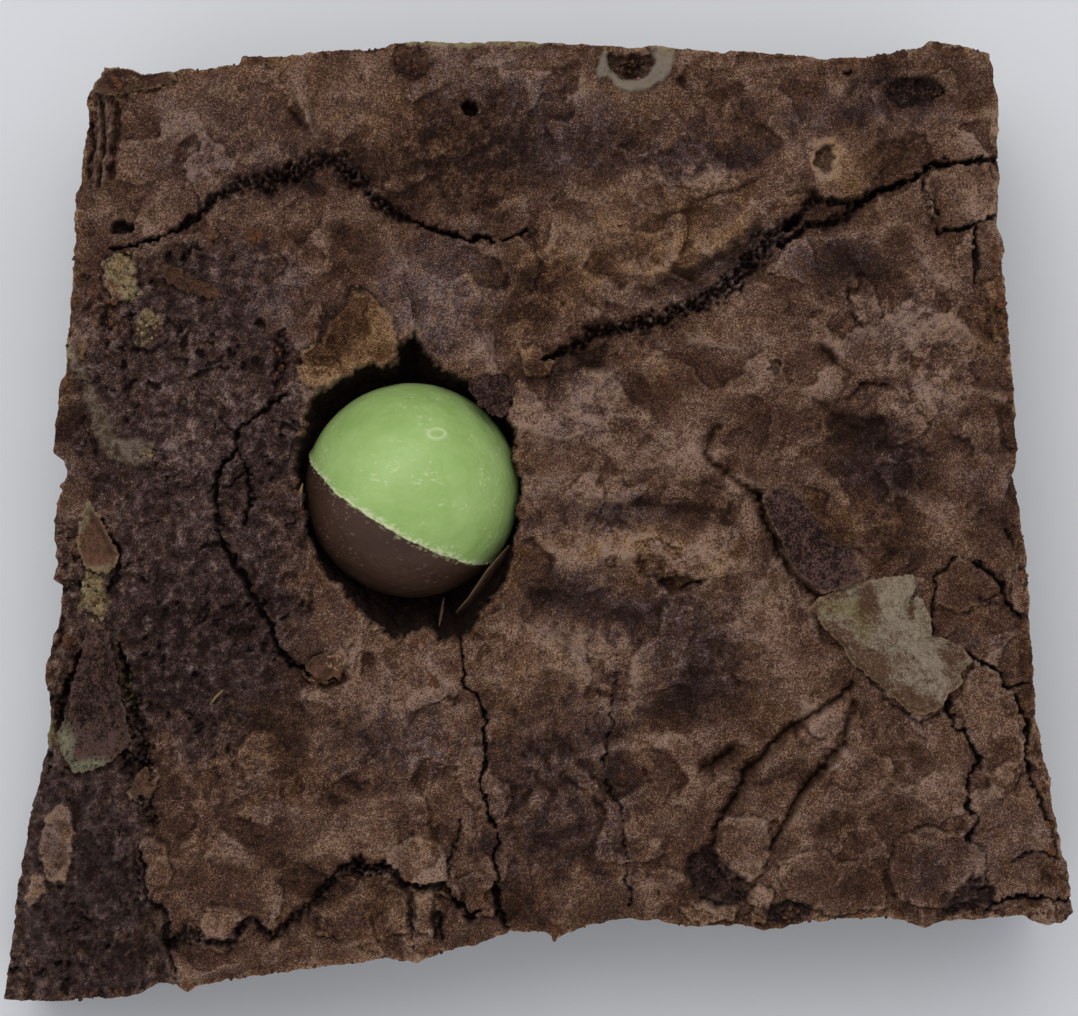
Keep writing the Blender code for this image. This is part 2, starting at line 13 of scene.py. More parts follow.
import bpy
import numpy as np
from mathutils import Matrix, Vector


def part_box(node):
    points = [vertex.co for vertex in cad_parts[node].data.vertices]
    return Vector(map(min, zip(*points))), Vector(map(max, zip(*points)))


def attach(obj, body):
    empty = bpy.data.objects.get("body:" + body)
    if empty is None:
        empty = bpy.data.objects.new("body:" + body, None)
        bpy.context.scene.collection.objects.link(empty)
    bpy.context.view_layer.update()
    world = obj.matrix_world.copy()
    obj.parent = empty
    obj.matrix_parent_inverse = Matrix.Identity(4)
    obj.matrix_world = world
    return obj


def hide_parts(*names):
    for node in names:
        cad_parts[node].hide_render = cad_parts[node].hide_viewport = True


LOG = logging.getLogger("brownie")
Array = np.ndarray
Squares = tuple[tuple[float, ...], ...]
Ramp = tuple[tuple[float, ...], ...]

# Plan squares: x to the right, y to the front; the ball spans 219 of them
BALL_RADIUS = 0.00925
SQUARE = 2 * BALL_RADIUS / 219
PLAN_ORIGIN = (530.5, 528.0)
SLAB_HEIGHT = 0.028
BALL_PROUD = 0.0048
BALL_AT = (411.0, 490.5)
SEAM_AXIS = (-0.493, -0.838, -0.237)
SEAM_SHARE = 0.177
SWELL_SEED = 12
SWELL_WAVES = 9
SWELL_HEIGHT = 0.00016
LIGHT_LEVEL = 0.81
LATTICE_START = 1000.0
FAR = 999.0
ROOT = "root"


def seen(red: float, green: float, blue: float) -> tuple[float, float, float, float]:
    """Turn a colour as the eye sees it under the studio light into a surface colour.

    The display value is made linear and divided by the light that falls on the crust.

    Args:
        red: Display red, 0 to 255.
        green: Display green, 0 to 255.
        blue: Display blue, 0 to 255.

    Returns:
        The linear surface colour with full alpha.
    """
    shares = [value / 255.0 for value in (red, green, blue)]
    linear = [((s + 0.055) / 1.055) ** 2.4 if s > 0.04045 else s / 12.92 for s in shares]
    return (*[value / LIGHT_LEVEL for value in linear], 1.0)


def ease(value: Array) -> Array:
    """Ease from 0 to 1: three times the square less twice the cube of the clamped value."""
    t = np.clip(value, 0.0, 1.0)
    return t * t * (3.0 - 2.0 * t)


def to_metres(squares: Array | Squares) -> Array:
    """Turn plan squares into metres, with +Y to the back."""
    metres = (np.asarray(squares, dtype=float)[..., :2] - PLAN_ORIGIN) * SQUARE
    return metres * (1.0, -1.0)


def to_squares(x: Array, y: Array) -> tuple[Array, Array]:
    """Turn metres into plan squares."""
    return x / SQUARE + PLAN_ORIGIN[0], PLAN_ORIGIN[1] - y / SQUARE


def scramble(cells: Array, seed: int) -> Array:
    """Turn whole lattice cells into evenly spread 32-bit numbers.

    Each coordinate is multiplied by a large odd number, the three are combined by
    exclusive or with the seed, and shifts and multiplications mix the bits.

    Args:
        cells: Whole numbers, shape (..., 3).
        seed: Chooses one pattern among many.

    Returns:
        One unsigned number for each cell.
    """
    whole = cells.astype(np.int64).astype(np.uint32)
    mixed = whole[..., 0] * np.uint32(0x8DA6B343)
    mixed ^= whole[..., 1] * np.uint32(0xD8163841)
    mixed ^= whole[..., 2] * np.uint32(0xCB1AB31F)
    mixed ^= np.uint32((seed * 0x9E3779B9) & 0xFFFFFFFF)
    mixed ^= mixed >> np.uint32(16)
    mixed *= np.uint32(0x7FEB352D)
    mixed ^= mixed >> np.uint32(15)
    mixed *= np.uint32(0x846CA68B)
    return mixed ^ (mixed >> np.uint32(16))


def unit_parts(numbers: Array) -> Array:
    """Split each scrambled number into three values between 0 and 1."""
    parts = [(numbers >> np.uint32(shift)) & np.uint32(1023) for shift in (0, 10, 20)]
    return np.stack(parts, axis=-1) / 1023.0


def noise(points: Array, size: float, seed: int) -> Array:
    """Smooth random field of one scale, about -1 to 1.

    Every lattice corner holds a random slope. The field is the eased blend of the eight
    corners' slopes times the way from that corner.

    Args:
        points: Places, shape (n, 3).
        size: Distance between lattice corners.
        seed: Chooses one pattern among many.

    Returns:
        The field's value at each place.
    """
    scaled = points / size + LATTICE_START
    base = np.floor(scaled)
    way = scaled - base
    fade = ease(way)
    total = np.zeros(len(points))
    for corner in np.ndindex(2, 2, 2):
        step = np.array(corner)
        slopes = unit_parts(scramble(base + step, seed)) * 2.0 - 1.0
        share = np.prod(np.where(step, fade, 1.0 - fade), axis=-1)
        total += share * np.sum(slopes * (way - step), axis=-1)
    return total * 1.7


def layers(points: Array, size: float, count: int, seed: int, gain: float = 0.5) -> Array:
    """Sum of noise fields, each half the scale and gain times the strength of the last."""
    total = np.zeros(len(points))
    for level in range(count):
        total += gain ** level * noise(points, size / 2 ** level, seed + level)
    return total


def cells(points: Array, size: float, seed: int, flat: bool = False) -> tuple[Array, Array, Array]:
    """Distances to the nearest two of randomly placed seeds, one in each lattice cell.

    Args:
        points: Places, shape (n, 3).
        size: Width of a lattice cell.
        seed: Chooses one pattern among many.
        flat: True where the places lie in one plane of constant z.

    Returns:
        The nearest and second nearest distance in cell widths, and a random number from
        0 to 1 that belongs to the nearest seed.
    """
    scaled = points / size + LATTICE_START
    base = np.floor(scaled)
    first = np.full(len(points), 9.0)
    second = np.full(len(points), 9.0)
    owner = np.zeros(len(points))
    levels = (0,) if flat else (-1, 0, 1)
    for step in [(i, j, k) for i in (-1, 0, 1) for j in (-1, 0, 1) for k in levels]:
        cell = base + np.array(step)
        numbers = scramble(cell, seed)
        spot = unit_parts(numbers)
        if flat:
            spot[:, 2] = scaled[:, 2] - cell[:, 2]
        away = np.linalg.norm(cell + spot - scaled, axis=-1)
        nearer = away < first
        second = np.where(nearer, first, np.minimum(second, away))
        owner = np.where(nearer, (numbers >> np.uint32(7)) % np.uint32(997) / 997.0, owner)
        first = np.where(nearer, away, first)
    return first, second, owner


def flat_points(x: Array, y: Array) -> Array:
    """Stack plan coordinates into places with z at 0."""
    return np.stack((x, y, np.zeros_like(x)), axis=-1)


def bell(value: Array, width: float | Array) -> Array:
    """Bell curve: 1 where the value is zero, e to the minus 1 a width away."""
    return np.exp(-(value / width) ** 2)


def walked(line: Array) -> Array:
    """Distance walked along a line at each of its places."""
    steps = np.linalg.norm(np.diff(line, axis=0), axis=1)
    return np.concatenate(((0.0,), np.cumsum(steps)))


def places_along(line: Array, along: Array | tuple[float, ...], wanted: Array) -> Array:
    """Plan places on a line at wanted distances, given the distance at each of its places."""
    return np.column_stack([np.interp(wanted, along, line[:, k]) for k in (0, 1)])


@dataclass(frozen=True)
class Run:
    """A line on the plan: places in squares, each with a width in squares as third number."""

    points: Squares
    closed: bool = False

    def measure(self, x: Array, y: Array, reach: float = 60.0) -> tuple[Array, Array]:
        """Distance to the line, and the half width at the nearest place.

        Each straight piece is met at the clamped foot of the perpendicular.

        Args:
            x: Plan squares to the right.
            y: Plan squares to the front.
            reach: Places farther than this from the line's box are not measured.

        Returns:
            Distance and half width in squares, with a large distance out of reach.
        """
        line = np.array(self.points, dtype=float)
        if self.closed:
            line = np.vstack((line, line[:1]))
        widths = line[:, 2] if line.shape[1] > 2 else np.zeros(len(line))
        low = line[:, :2].min(axis=0) - reach
        high = line[:, :2].max(axis=0) + reach
        near = np.flatnonzero((x > low[0]) & (x < high[0]) & (y > low[1]) & (y < high[1]))
        px, py = x[near], y[near]
        least = np.full(len(near), FAR)
        half = np.zeros(len(near))
        for k in range(len(line) - 1):
            way = line[k + 1, :2] - line[k, :2]
            along = ((px - line[k, 0]) * way[0] + (py - line[k, 1]) * way[1]) / max(way @ way, 1e-9)
            along = np.clip(along, 0.0, 1.0)
            away = np.hypot(px - line[k, 0] - along * way[0], py - line[k, 1] - along * way[1])
            nearer = away < least
            least = np.where(nearer, away, least)
            half = np.where(nearer, (widths[k] + along * (widths[k + 1] - widths[k])) / 2, half)
        distance = np.full(x.shape, FAR)
        distance[near] = least
        spread = np.zeros(x.shape)
        spread[near] = half
        return distance, spread

    def inside(self, x: Array, y: Array, reach: float = 60.0) -> Array:
        """Signed distance to a closed line, positive inside, by counting crossings."""
        distance, _ = self.measure(x, y, reach)
        line = np.array(self.points, dtype=float)[:, :2]
        near = np.flatnonzero(distance < FAR - 1.0)
        px, py = x[near], y[near]
        odd = np.zeros(len(near), dtype=bool)
        for (x0, y0), (x1, y1) in zip(line, np.roll(line, -1, axis=0)):
            spans = (y0 > py) != (y1 > py)
            slope = (x1 - x0) / (y1 - y0) if y1 != y0 else 0.0
            odd ^= spans & (px < x0 + (py - y0) * slope)
        sign = np.full(x.shape, -1.0)
        sign[near] = np.where(odd, 1.0, -1.0)
        return distance * sign


@dataclass(frozen=True)
class Patch:
    """A soft oval on the plan: middle and half sizes in squares, turn in degrees."""

    x: float
    y: float
    across: float
    deep: float
    amount: float
    turn: float = 0.0
    power: float = 3.6

    def weight(self, x: Array, y: Array) -> Array:
        """Amount times e to the minus oval distance raised to the power."""
        cos, sin = math.cos(math.radians(self.turn)), math.sin(math.radians(self.turn))
        along = ((x - self.x) * cos + (y - self.y) * sin) / self.across
        over = (-(x - self.x) * sin + (y - self.y) * cos) / self.deep
        return self.amount * np.exp(-np.hypot(along, over) ** self.power)


@dataclass
class Skin:
    """A grid surface under way: places, faces and one value per vertex for each mask."""

    places: Array
    faces: Array
    masks: dict[str, Array]

    def keep(self, wanted: Array) -> "Skin":
        """Keep some faces and only the vertices that they use."""
        faces = self.faces[wanted]
        used = np.unique(faces)
        renumber = np.zeros(len(self.places), dtype=np.int64)
        renumber[used] = np.arange(len(used))
        masks = {name: values[used] for name, values in self.masks.items()}
        return Skin(self.places[used], renumber[faces], masks)


def grid_faces(rows: int, columns: int, wrap: bool = False) -> Array:
    """Quads of a grid of vertices, counted row by row.

    Args:
        rows: Rows of vertices.
        columns: Vertices in a row.
        wrap: True where the last column joins the first.

    Returns:
        Vertex numbers, shape (faces, 4), facing up where columns run +X and rows +Y.
    """
    numbers = np.arange(rows * columns).reshape(rows, columns)
    if wrap:
        numbers = np.column_stack((numbers, numbers[:, :1]))
    corners = (numbers[:-1, :-1], numbers[:-1, 1:], numbers[1:, 1:], numbers[1:, :-1])
    return np.stack(corners, axis=-1).reshape(-1, 4)


def make_piece(name: str, skin: Skin, finish: bpy.types.Material, smooth: bool = True) -> bpy.types.Object:
    """Put a skin into a mesh object at the origin with its masks as attributes.

    Args:
        name: The piece's name.
        skin: Places in metres, faces of equal size and masks.
        finish: The piece's material.
        smooth: True for smooth shading.

    Returns:
        The new object, linked to the scene.
    """
    mesh = bpy.data.meshes.new(name)
    sides = skin.faces.shape[1]
    mesh.vertices.add(len(skin.places))
    mesh.vertices.foreach_set("co", skin.places.astype(np.float32).ravel())
    mesh.loops.add(skin.faces.size)
    mesh.loops.foreach_set("vertex_index", skin.faces.astype(np.int32).ravel())
    mesh.polygons.add(len(skin.faces))
    mesh.polygons.foreach_set("loop_start", np.arange(0, skin.faces.size, sides, dtype=np.int32))
    mesh.update(calc_edges=True)
    mesh.polygons.foreach_set("use_smooth", np.full(len(skin.faces), smooth))
    for mask, values in skin.masks.items():
        layer = mesh.attributes.new(mask, "FLOAT", "POINT")
        layer.data.foreach_set("value", values.astype(np.float32))
    mesh.validate()
    mesh.materials.append(finish)
    piece = bpy.data.objects.new(name, mesh)
    bpy.context.scene.collection.objects.link(piece)
    return piece


def dress(piece: bpy.types.Object, node: str) -> bpy.types.Object:
    """Let a piece ride on the part and stand for a node, whose solid is hidden."""
    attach(piece, ROOT)
    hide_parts(node)
    return piece


def show(name: str, skin: Skin, finish: bpy.types.Material, node: str,
         smooth: bool = True) -> None:
    """Make a dressed piece of a skin and log its size.

    Args:
        name: The piece's name.
        skin: Places in metres, faces of equal size and masks.
        finish: The piece's material.
        node: The node of the solids that it stands for.
        smooth: True for smooth shading.
    """
    piece = dress(make_piece(name, skin, finish, smooth), node)
    LOG.info("%s: %d faces", name, len(piece.data.polygons))


def merge(skins: list[Skin]) -> Skin:
    """Join skins with the same masks into one."""
    starts = np.cumsum([0] + [len(skin.places) for skin in skins[:-1]])
    places = np.vstack([skin.places for skin in skins])
    faces = np.vstack([skin.faces + start for skin, start in zip(skins, starts)])
    masks = {name: np.concatenate([skin.masks[name] for skin in skins]) for name in skins[0].masks}
    return Skin(places, faces, masks)


class Nodes:
    """Short calls for the nodes of one tree."""

    def __init__(self, tree: bpy.types.NodeTree) -> None:
        """Keep the tree."""
        self.tree = tree

    def add(self, kind: str, **settings: object) -> bpy.types.Node:
        """Add a node and set its properties."""
        node = self.tree.nodes.new(kind)
        for name, value in settings.items():
            setattr(node, name, value)
        return node

    def link(self, source: bpy.types.NodeSocket, target: bpy.types.NodeSocket) -> None:
        """Join two sockets."""
        self.tree.links.new(source, target)

    def feed(self, value: object, target: bpy.types.NodeSocket) -> None:
        """Link a socket or set a plain value."""
        if isinstance(value, bpy.types.NodeSocket):
            self.link(value, target)
        else:
            target.default_value = value

    def math(self, operation: str, first: object, second: object = 0.0, clamp: bool = False) -> object:
        """A Math node's result."""
        node = self.add("ShaderNodeMath", operation=operation, use_clamp=clamp)
        self.feed(first, node.inputs[0])
        self.feed(second, node.inputs[1])
        return node.outputs[0]

    def mix(self, share: object, first: object, second: object, blend: str = "MIX") -> object:
        """A colour Mix node's result."""
        node = self.add("ShaderNodeMix", data_type="RGBA", blend_type=blend)
        self.feed(share, node.inputs[0])
        self.feed(first, node.inputs[6])
        self.feed(second, node.inputs[7])
        return node.outputs[2]

    def noise(self, where: object, scale: float, detail: float = 3.0, rough: float = 0.55) -> object:
        """A Noise Texture's value."""
        node = self.add("ShaderNodeTexNoise")
        self.feed(where, node.inputs["Vector"])
        node.inputs["Scale"].default_value = scale
        node.inputs["Detail"].default_value = detail
        node.inputs["Roughness"].default_value = rough
        return node.outputs["Fac"]

    def shaken(self, value: object, share: float) -> object:
        """A value's distance from one half, times a share."""
        return self.math("MULTIPLY", self.math("SUBTRACT", value, 0.5), share)

    def ramp(self, value: object, stops: tuple[tuple[float, tuple[float, ...]], ...]) -> object:
        """A Color Ramp's colour."""
        node = self.add("ShaderNodeValToRGB")
        self.feed(value, node.inputs[0])
        band = node.color_ramp
        while len(band.elements) < len(stops):
            band.elements.new(0.5)
        for element, (place, colour) in zip(band.elements, stops):
            element.position = place
            element.color = colour
        return node.outputs[0]

    def between(self, value: object, low: float, high: float) -> object:
        """Map low to high onto 0 to 1, clamped and eased."""
        node = self.add("ShaderNodeMapRange", interpolation_type="SMOOTHSTEP")
        self.feed(value, node.inputs["Value"])
        node.inputs["From Min"].default_value = low
        node.inputs["From Max"].default_value = high
        return node.outputs[0]

    def mask(self, name: str) -> object:
        """A vertex mask's value."""
        return self.add("ShaderNodeAttribute", attribute_name=name).outputs["Fac"]

    def place(self) -> object:
        """The surface's place in metres."""
        return self.add("ShaderNodeTexCoord").outputs["Object"]


def speckle_group() -> bpy.types.NodeTree:
    """Node group for baked speckle: fine grains and pinpricks at a given size.

    Grains are a noise; pinpricks are spots closer than a third of their spacing.

    Returns:
        The group, with inputs Place and Grain (grains for each metre) and outputs
        Grains, Pinpricks and Rise.
    """
    tree = bpy.data.node_groups.new("baked_speckle", "ShaderNodeTree")
    face = tree.interface
    face.new_socket("Place", in_out="INPUT", socket_type="NodeSocketVector")
    face.new_socket("Grain", in_out="INPUT", socket_type="NodeSocketFloat")
    for name in ("Grains", "Pinpricks", "Rise"):
        face.new_socket(name, in_out="OUTPUT", socket_type="NodeSocketFloat")
    kit = Nodes(tree)
    way_in = kit.add("NodeGroupInput")
    way_out = kit.add("NodeGroupOutput")
    grains = kit.add("ShaderNodeTexNoise")
    grains.inputs["Detail"].default_value = 4.0
    grains.inputs["Roughness"].default_value = 0.68
    kit.link(way_in.outputs["Place"], grains.inputs["Vector"])
    kit.link(way_in.outputs["Grain"], grains.inputs["Scale"])
    spots = kit.add("ShaderNodeTexVoronoi")
    kit.link(way_in.outputs["Place"], spots.inputs["Vector"])
    kit.link(kit.math("MULTIPLY", way_in.outputs["Grain"], 0.8), spots.inputs["Scale"])
    pricks = kit.between(spots.outputs["Distance"], 0.34, 0.14)
    kit.link(grains.outputs["Fac"], way_out.inputs["Grains"])
    kit.link(pricks, way_out.inputs["Pinpricks"])
    kit.link(kit.math("SUBTRACT", grains.outputs["Fac"], kit.math("MULTIPLY", pricks, 0.25)),
             way_out.inputs["Rise"])
    return tree


def use_group(kit: Nodes, group: bpy.types.NodeTree, **values: object) -> bpy.types.Node:
    """Place a node group and feed its inputs."""
    node = kit.add("ShaderNodeGroup", node_tree=group)
    for name, value in values.items():
        kit.feed(value, node.inputs[name])
    return node


def new_material(name: str) -> tuple[bpy.types.Material, Nodes, bpy.types.Node]:
    """Start a material: the material, its node kit and its shader."""
    material = bpy.data.materials.new(name)
    material.use_nodes = True
    return material, Nodes(material.node_tree), material.node_tree.nodes["Principled BSDF"]


def add_bump(kit: Nodes, shader: bpy.types.Node, height: object, distance: float) -> None:
    """Feed a height field to the shader's normal."""
    bump = kit.add("ShaderNodeBump")
    bump.inputs["Strength"].default_value = 1.0
    bump.inputs["Distance"].default_value = distance
    kit.feed(height, bump.inputs["Height"])
    kit.link(bump.outputs["Normal"], shader.inputs["Normal"])


@dataclass(frozen=True)
class CrustFinish:
    """Papery baked crust over dark crumb, driven by the masks of the mesh.

    Three ramps give brown, golden and plum-grey crust from dark to light.
    """

    name: str = "papery_crust"
    brown: Ramp = (seen(31, 15, 9), seen(64, 42, 31), seen(99, 69, 53), seen(158, 130, 113))
    gold: Ramp = (seen(31, 16, 7), seen(70, 45, 28), seen(111, 78, 51), seen(166, 133, 99))
    plum: Ramp = (seen(28, 15, 12), seen(55, 39, 36), seen(86, 65, 61), seen(143, 122, 118))
    mint: tuple[float, ...] = seen(132, 119, 105)
    olive: tuple[float, ...] = seen(148, 133, 98)
    mint_dark: tuple[float, ...] = seen(88, 68, 48)
    # Near-black colour of the painted shade in cracks, holes, plate gaps, pores and the pit's gap.
    painted_shade: tuple[float, ...] = seen(15, 9, 7)
    stops: tuple[float, ...] = (0.0, 0.34, 0.64, 1.0)
    grain: float = 7200.0
    medium_step: float = 2.1
    broad_step: float = 4.5
    speckle_share: float = 2.4
    medium_share: float = 0.45
    drift_share: float = 0.22
    prick_share: float = 0.12
    hue_share: float = 0.7
    # Share of speckle that breaks up the painted shade.
    painted_shade_speckle: float = 0.35
    mint_tones: tuple[float, float] = (0.15, 0.7)
    roughness: float = 0.6
    roughness_share: float = 0.2
    specular: float = 0.16
    bump: float = 0.00026

    def shades(self, kit: Nodes, tone: object, colours: Ramp) -> object:
        """One ramp from dark to light."""
        return kit.ramp(tone, tuple(zip(self.stops, colours)))

    def build(self, speckle: bpy.types.NodeTree) -> bpy.types.Material:
        """Mix the ramps by gold and plum, then mint, then the near-black painted shade of cracks, holes, gaps
        and pores, all with fine speckle.
        """
        material, kit, shader = new_material(self.name)
        place = kit.place()
        fine = use_group(kit, speckle, Place=place, Grain=self.grain)
        medium = use_group(kit, speckle, Place=place, Grain=self.grain / self.medium_step)
        broad = use_group(kit, speckle, Place=place, Grain=self.grain / self.broad_step)
        shake = kit.shaken(fine.outputs["Grains"], self.speckle_share)
        drift = kit.shaken(broad.outputs["Grains"], self.drift_share)
        drift = kit.math("ADD", drift, kit.shaken(medium.outputs["Grains"], self.medium_share))
        # Pinpricks darken the tone: painted shade of tiny pits.
        pricks = kit.math("MULTIPLY", medium.outputs["Pinpricks"], self.prick_share)
        drift = kit.math("SUBTRACT", drift, pricks)
        tone = kit.math("ADD", kit.math("ADD", kit.mask("tone"), shake), drift, clamp=True)
        hue_shake = kit.shaken(broad.outputs["Grains"], self.hue_share)
        colour = self.shades(kit, tone, self.brown)
        gold = kit.math("ADD", kit.mask("gold"), hue_shake, clamp=True)
        colour = kit.mix(gold, colour, self.shades(kit, tone, self.gold))
        plum = kit.math("SUBTRACT", kit.mask("plum"), hue_shake, clamp=True)
        colour = kit.mix(plum, colour, self.shades(kit, tone, self.plum))
        mint = kit.mix(kit.mask("gold"), self.mint, self.olive)
        mint = kit.mix(kit.between(tone, *self.mint_tones), self.mint_dark, mint)
        colour = kit.mix(kit.mask("mint"), colour, mint)
        # Painted shade: the shade mask, broken up by speckle, mixes in the near-black colour.
        speckled = kit.math("MULTIPLY", shake, self.painted_shade_speckle)
        painted_shade = kit.math("SUBTRACT", kit.mask("painted_shade"), speckled, clamp=True)
        colour = kit.mix(kit.math("MULTIPLY", painted_shade, kit.mask("painted_shade")), colour, self.painted_shade)
        kit.link(colour, shader.inputs["Base Color"])
        roughness = kit.math("MULTIPLY", fine.outputs["Grains"], self.roughness_share)
        kit.link(kit.math("ADD", roughness, self.roughness), shader.inputs["Roughness"])
        shader.inputs["Specular IOR Level"].default_value = self.specular
        rise = kit.math("ADD", fine.outputs["Grains"], medium.outputs["Grains"])
        add_bump(kit, shader, rise, self.bump)
        return material


@dataclass(frozen=True)
class ShellFinish:
    """Moulded chocolate shell: satin, with pale scuffs and a crumbly rim."""

    name: str
    shade: tuple[float, ...]
    deep: tuple[float, ...]
    scuff: tuple[float, ...]
    rim: tuple[float, ...]
    # Painted light: a lighter colour for the ball's lower sides, down in the pit.
    side: tuple[float, ...]
    roughness: float = 0.42
    scuff_share: float = 0.66
    cloud_scale: float = 260.0
    scratch_scale: float = 1500.0
    field_scale: float = 340.0
    dent_scale: float = 1100.0
    specular: float = 0.35
    bump: float = 0.00007

    def build(self) -> bpy.types.Material:
        """Mix shade and deep by a soft cloud, then the painted light of the lower sides, scuffs and the rim.
        """
        material, kit, shader = new_material(self.name)
        place = kit.place()
        cloud = kit.noise(place, self.cloud_scale)
        colour = kit.mix(kit.between(cloud, 0.3, 0.7), self.shade, self.deep)
        # Painted light on the lower sides, by the side mask.
        colour = kit.mix(kit.mask("side"), colour, self.side)
        scratch = kit.noise(place, self.scratch_scale, 4.0, 0.7)
        scratch = kit.between(scratch, self.scuff_share, self.scuff_share + 0.1)
        field = kit.between(kit.noise(place, self.field_scale, 2.0), 0.5, 0.66)
        worn = kit.math("MULTIPLY", scratch, field)
        worn = kit.math("MAXIMUM", worn, kit.mask("scuff"), clamp=True)
        colour = kit.mix(worn, colour, self.scuff)
        colour = kit.mix(kit.mask("rim"), colour, self.rim)
        kit.link(colour, shader.inputs["Base Color"])
        rough = kit.math("ADD", kit.math("MULTIPLY", worn, 0.3), self.roughness)
        kit.link(rough, shader.inputs["Roughness"])
        shader.inputs["Specular IOR Level"].default_value = self.specular
        add_bump(kit, shader, kit.noise(place, self.dent_scale, 4.0, 0.6), self.bump)
        return material


@dataclass(frozen=True)
class FlakeFinish:
    """Thin baked flake: a centre colour, a green cast and a browned rim by masks."""

    name: str
    centre: tuple[float, ...]
    green: tuple[float, ...]
    brown: tuple[float, ...]
    rim: tuple[float, ...]
    grain: float = 5200.0
    mottle: float = 2.0
    bump: float = 0.00018
    broad_step: float = 4.0
    roughness: float = 0.7
    specular: float = 0.16

    def build(self, speckle: bpy.types.NodeTree) -> bpy.types.Material:
        """Mix centre, green, brown and rim by the masks, with fine speckle."""
        material, kit, shader = new_material(self.name)
        place = kit.place()
        fine = use_group(kit, speckle, Place=place, Grain=self.grain)
        broad = use_group(kit, speckle, Place=place, Grain=self.grain / self.broad_step)
        cast = kit.math("ADD", kit.mask("green"), kit.shaken(broad.outputs["Grains"], 1.0), clamp=True)
        colour = kit.mix(cast, self.centre, self.green)
        shake = kit.math("SUBTRACT", kit.math("ADD", fine.outputs["Grains"], broad.outputs["Grains"]), 1.0)
        brown = kit.math("ADD", kit.mask("brown"), kit.math("MULTIPLY", shake, self.mottle), clamp=True)
        colour = kit.mix(brown, colour, self.brown)
        colour = kit.mix(kit.mask("rim"), colour, self.rim)
        kit.link(colour, shader.inputs["Base Color"])
        shader.inputs["Roughness"].default_value = self.roughness
        shader.inputs["Specular IOR Level"].default_value = self.specular
        rise = kit.math("ADD", fine.outputs["Rise"], broad.outputs["Rise"])
        add_bump(kit, shader, rise, self.bump)
        return material


class Edge(Enum):
    """The four cut edges of the slab, each as a line on the plan."""

    BACK = ((105, 70), (123, 69), (146, 76), (179, 72), (214, 68), (240, 63), (243, 57), (279, 56),
            (307, 53), (355, 49), (385, 49), (395, 43), (430, 41), (471, 43), (519, 41), (560, 44),
            (606, 46), (674, 47), (699, 50), (722, 54), (743, 50), (770, 52), (805, 56), (837, 59),
            (871, 56), (894, 52), (921, 47), (930, 41), (947, 44), (970, 48), (989, 54))
    RIGHT = ((989, 54), (994, 71), (997, 105), (998, 153), (997, 191), (998, 227), (1004, 250),
             (1002, 267), (1010, 329), (1012, 370), (1017, 440), (1019, 449), (1013, 475), (1017, 502),
             (1024, 537), (1028, 594), (1032, 651), (1035, 709), (1040, 736), (1052, 797), (1060, 842),
             (1068, 874), (1074, 912))
    FRONT = ((-13, 1015), (32, 1013), (80, 1008), (134, 999), (154, 986), (177, 985), (188, 993),
             (196, 986), (254, 977), (295, 971), (339, 965), (386, 959), (418, 963), (439, 954),
             (482, 942), (511, 932), (523, 931), (546, 933), (555, 941), (568, 932), (607, 921),
             (652, 920), (679, 925), (714, 927), (737, 925), (762, 931), (813, 921), (890, 917),
             (926, 927), (955, 919), (1022, 915), (1044, 925), (1062, 923), (1074, 912))
    LEFT = ((105, 70), (85, 96), (86, 116), (80, 145), (78, 175), (75, 199), (76, 234), (73, 270),
            (70, 329), (68, 341), (66, 375), (60, 388), (53, 452), (63, 461), (67, 477), (60, 486),
            (63, 491), (58, 499), (52, 522), (55, 560), (52, 579), (59, 586), (55, 629), (46, 648),
            (41, 682), (46, 717), (41, 750), (38, 758), (20, 820), (3, 905), (-13, 1015))

    def line(self, count: int) -> Array:
        """The edge as count evenly spaced places in metres."""
        points = to_metres(self.value)
        along = walked(points)
        return places_along(points, along, np.linspace(0.0, along[-1], count))


PIT_EDGE = Run((
    (413, 330), (418, 341), (436, 362), (457, 378), (470, 380), (487, 376), (503, 373), (514, 380),
    (510, 419), (516, 429), (516, 461), (523, 484), (521, 507), (519, 530), (514, 552), (510, 575),
    (496, 596), (482, 612), (464, 644), (454, 637), (441, 644), (427, 628), (409, 637), (395, 644),
    (365, 617), (349, 601), (335, 585), (314, 562), (305, 530), (301, 500), (294, 465), (303, 429),
    (310, 399), (330, 383), (349, 371), (370, 361), (383, 365), (395, 362), (397, 348), (405, 340)), True)
PIT_MOUTH_REACH = 90.0


@dataclass(frozen=True)
class Crack:
    """An open crack: a run with widths in squares, and a depth in metres."""

    run: Run
    depth: float


def crack(depth: float, *points: tuple[float, float, float]) -> Crack:
    """Shorten the writing of a crack."""
    return Crack(Run(points), depth)


